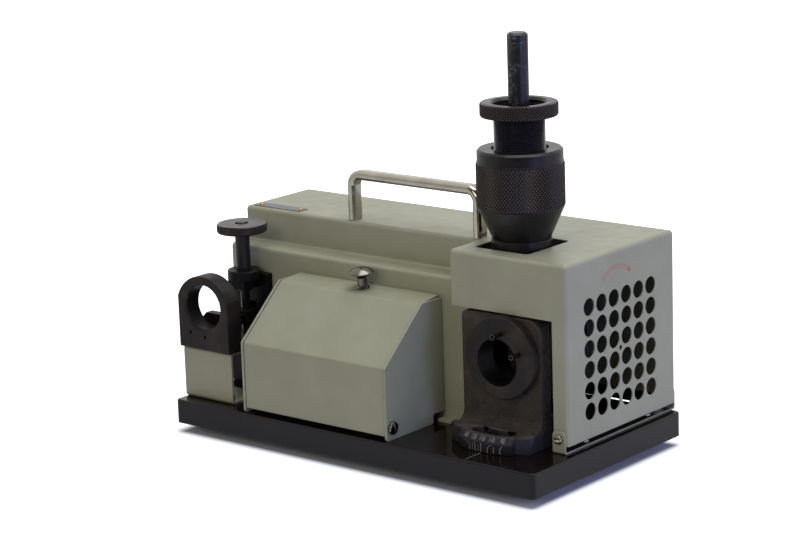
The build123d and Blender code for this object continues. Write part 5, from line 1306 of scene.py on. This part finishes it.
FLOOR_INSET = 8.0 * MM
FLOOR_NEAR = (2.0 * MM, 18.0 * MM)
FLOOR_FAR = (0.1, 1.0)
FLOOR_FAR_GLOW = 0.4
FLOOR_REFLECTED = 0.28
FLOOR_WAVES = 3.0
FLOOR_TONES = ((0.62, 0.62, 0.64, 1.0), (0.65, 0.65, 0.67, 1.0))
FLOOR_ROUGHNESS = 0.9
FLOOR_SPECULAR = 0.1
FLOOR_FRONT = 0.75
FLOOR_REACH = 9.0


def shows_white(tree, rays, reflected):
    """One where the camera or clear glass looks, a share in reflections, zero for light on the object."""
    glossy = spread(tree, rays.outputs["Is Glossy Ray"], 0.0, reflected, 0.0, 1.0)
    seen = both(tree, "MAXIMUM", rays.outputs["Is Camera Ray"], glossy)
    return both(tree, "MAXIMUM", seen, rays.outputs["Is Transmission Ray"])


def floor_material():
    """Pale floor that keeps the object's shadow under the base; from a band round the base outwards it
    glows white for the camera, a painted light that cuts the shadow short, and it is white further off.
    """
    made, tree, shader, place = surface("pale_floor")
    stops = zip((NOISE_LOW, NOISE_HIGH), FLOOR_TONES)
    tree.links.new(ramp(tree, noise(tree, place, FLOOR_WAVES), *stops), shader.inputs["Base Color"])
    shader.inputs["Roughness"].default_value = FLOOR_ROUGHNESS
    shader.inputs["Specular IOR Level"].default_value = FLOOR_SPECULAR
    shader.inputs["Emission Color"].default_value = WHITE
    middle = ((base_low.x + base_high.x) / 2, (base_low.y + base_high.y) / 2, 0.0)
    half_x = (base_high.x - base_low.x) / 2 - FLOOR_INSET
    half_y = (base_high.y - base_low.y) / 2 - FLOOR_INSET
    distance = outside_box(tree, place, middle, (half_x, half_y, 0.0))
    # Painted light: the glow begins at a band round the base and cuts the shadow short there
    near = spread(tree, distance, 0.0, 1.0, *FLOOR_NEAR)
    far = spread(tree, distance, 0.0, FLOOR_FAR_GLOW, *FLOOR_FAR)
    white = shows_white(tree, add(tree, "ShaderNodeLightPath"), FLOOR_REFLECTED)
    glow = both(tree, "MULTIPLY", both(tree, "ADD", near, far), white)
    tree.links.new(glow, shader.inputs["Emission Strength"])
    return made


towards_camera = Vector((back.x, back.y, 0.0)).normalized()
floor_corners = [
    ahead * towards_camera + aside * level
    for ahead, aside in (
        (FLOOR_FRONT, -FLOOR_REACH),
        (FLOOR_FRONT, FLOOR_REACH),
        (-FLOOR_REACH, FLOOR_REACH),
        (-FLOOR_REACH, -FLOOR_REACH),
    )
]
floor_mesh = bpy.data.meshes.new("floor")
floor_mesh.from_pydata(floor_corners, [], [(0, 1, 2, 3)])
floor_mesh.materials.append(floor_material())
floor = loose("floor", floor_mesh)


# Light

AMBIENT = 0.28
ROOM = 0.09
SWEEP_RANGE = (-0.1, 0.5)
COOL_SIDE = (0.95, -0.3, 0.05)
COOL_RANGE = (0.1, 0.8)
COOL = (0.62, 0.68, 1.0, 1.0)
world = bpy.data.worlds.new("studio")
scene.world = world
world.use_nodes = True
sky = world.node_tree
surround = sky.nodes["Background"]
way = add(sky, "ShaderNodeTexCoord").outputs["Generated"]


def along(direction):
    """How far the way out of the scene points along a direction."""
    made = add(sky, "ShaderNodeVectorMath", {"operation": "DOT_PRODUCT"})
    sky.links.new(way, made.inputs[0])
    made.inputs[1].default_value = direction
    return made.outputs["Value"]


sweep = spread(sky, along(towards_camera), 1.0, ROOM, *SWEEP_RANGE)
rays = add(sky, "ShaderNodeLightPath")
cool_share = spread(sky, along(COOL_SIDE), 0.0, 1.0, *COOL_RANGE)
cool_share = both(sky, "MULTIPLY", cool_share, rays.outputs["Is Diffuse Ray"])
sky.links.new(mixed(sky, cool_share, WHITE, COOL), surround.inputs["Color"])
seen = both(sky, "MAXIMUM", sweep, rays.outputs["Is Camera Ray"])
seen = both(sky, "MULTIPLY", seen, shows_white(sky, rays, 1.0))
ambient = spread(sky, rays.outputs["Is Diffuse Ray"], 0.0, AMBIENT, 0.0, 1.0)
sky.links.new(both(sky, "MAXIMUM", seen, ambient), surround.inputs["Strength"])


def softbox(name, place, target, size, watts, colour):
    """A rectangular lamp that faces its target."""
    data = bpy.data.lights.new(name, "AREA")
    data.shape = "RECTANGLE"
    data.size, data.size_y = size
    data.energy = watts
    data.color = colour
    lamp = loose(name, data)
    lamp.location = place
    lamp.rotation_euler = (Vector(target) - Vector(place)).to_track_quat("-Z", "Y").to_euler()


softbox(
    "overhead",
    place=(0.2, 0.1, 1.6),
    target=(0.0, 0.0, 0.1),
    size=(1.5, 1.2),
    watts=21.6,
    colour=(0.84, 0.9, 1.0),
)
softbox(
    "front",
    place=(0.3, -1.9, 0.9),
    target=(0.0, 0.0, 0.12),
    size=(1.0, 0.8),
    watts=9.2,
    colour=(1.0, 0.95, 0.83),
)
softbox(
    "right_front",
    place=(1.86, -0.4, 0.55),
    target=(0.0, 0.0, 0.15),
    size=(0.55, 0.9),
    watts=12.6,
    colour=(0.37, 0.44, 1.0),
)
softbox(
    "right_back",
    place=(1.9, 0.5, 0.6),
    target=(0.0, 0.0, 0.12),
    size=(0.9, 0.9),
    watts=6.6,
    colour=(0.74, 0.73, 1.0),
)
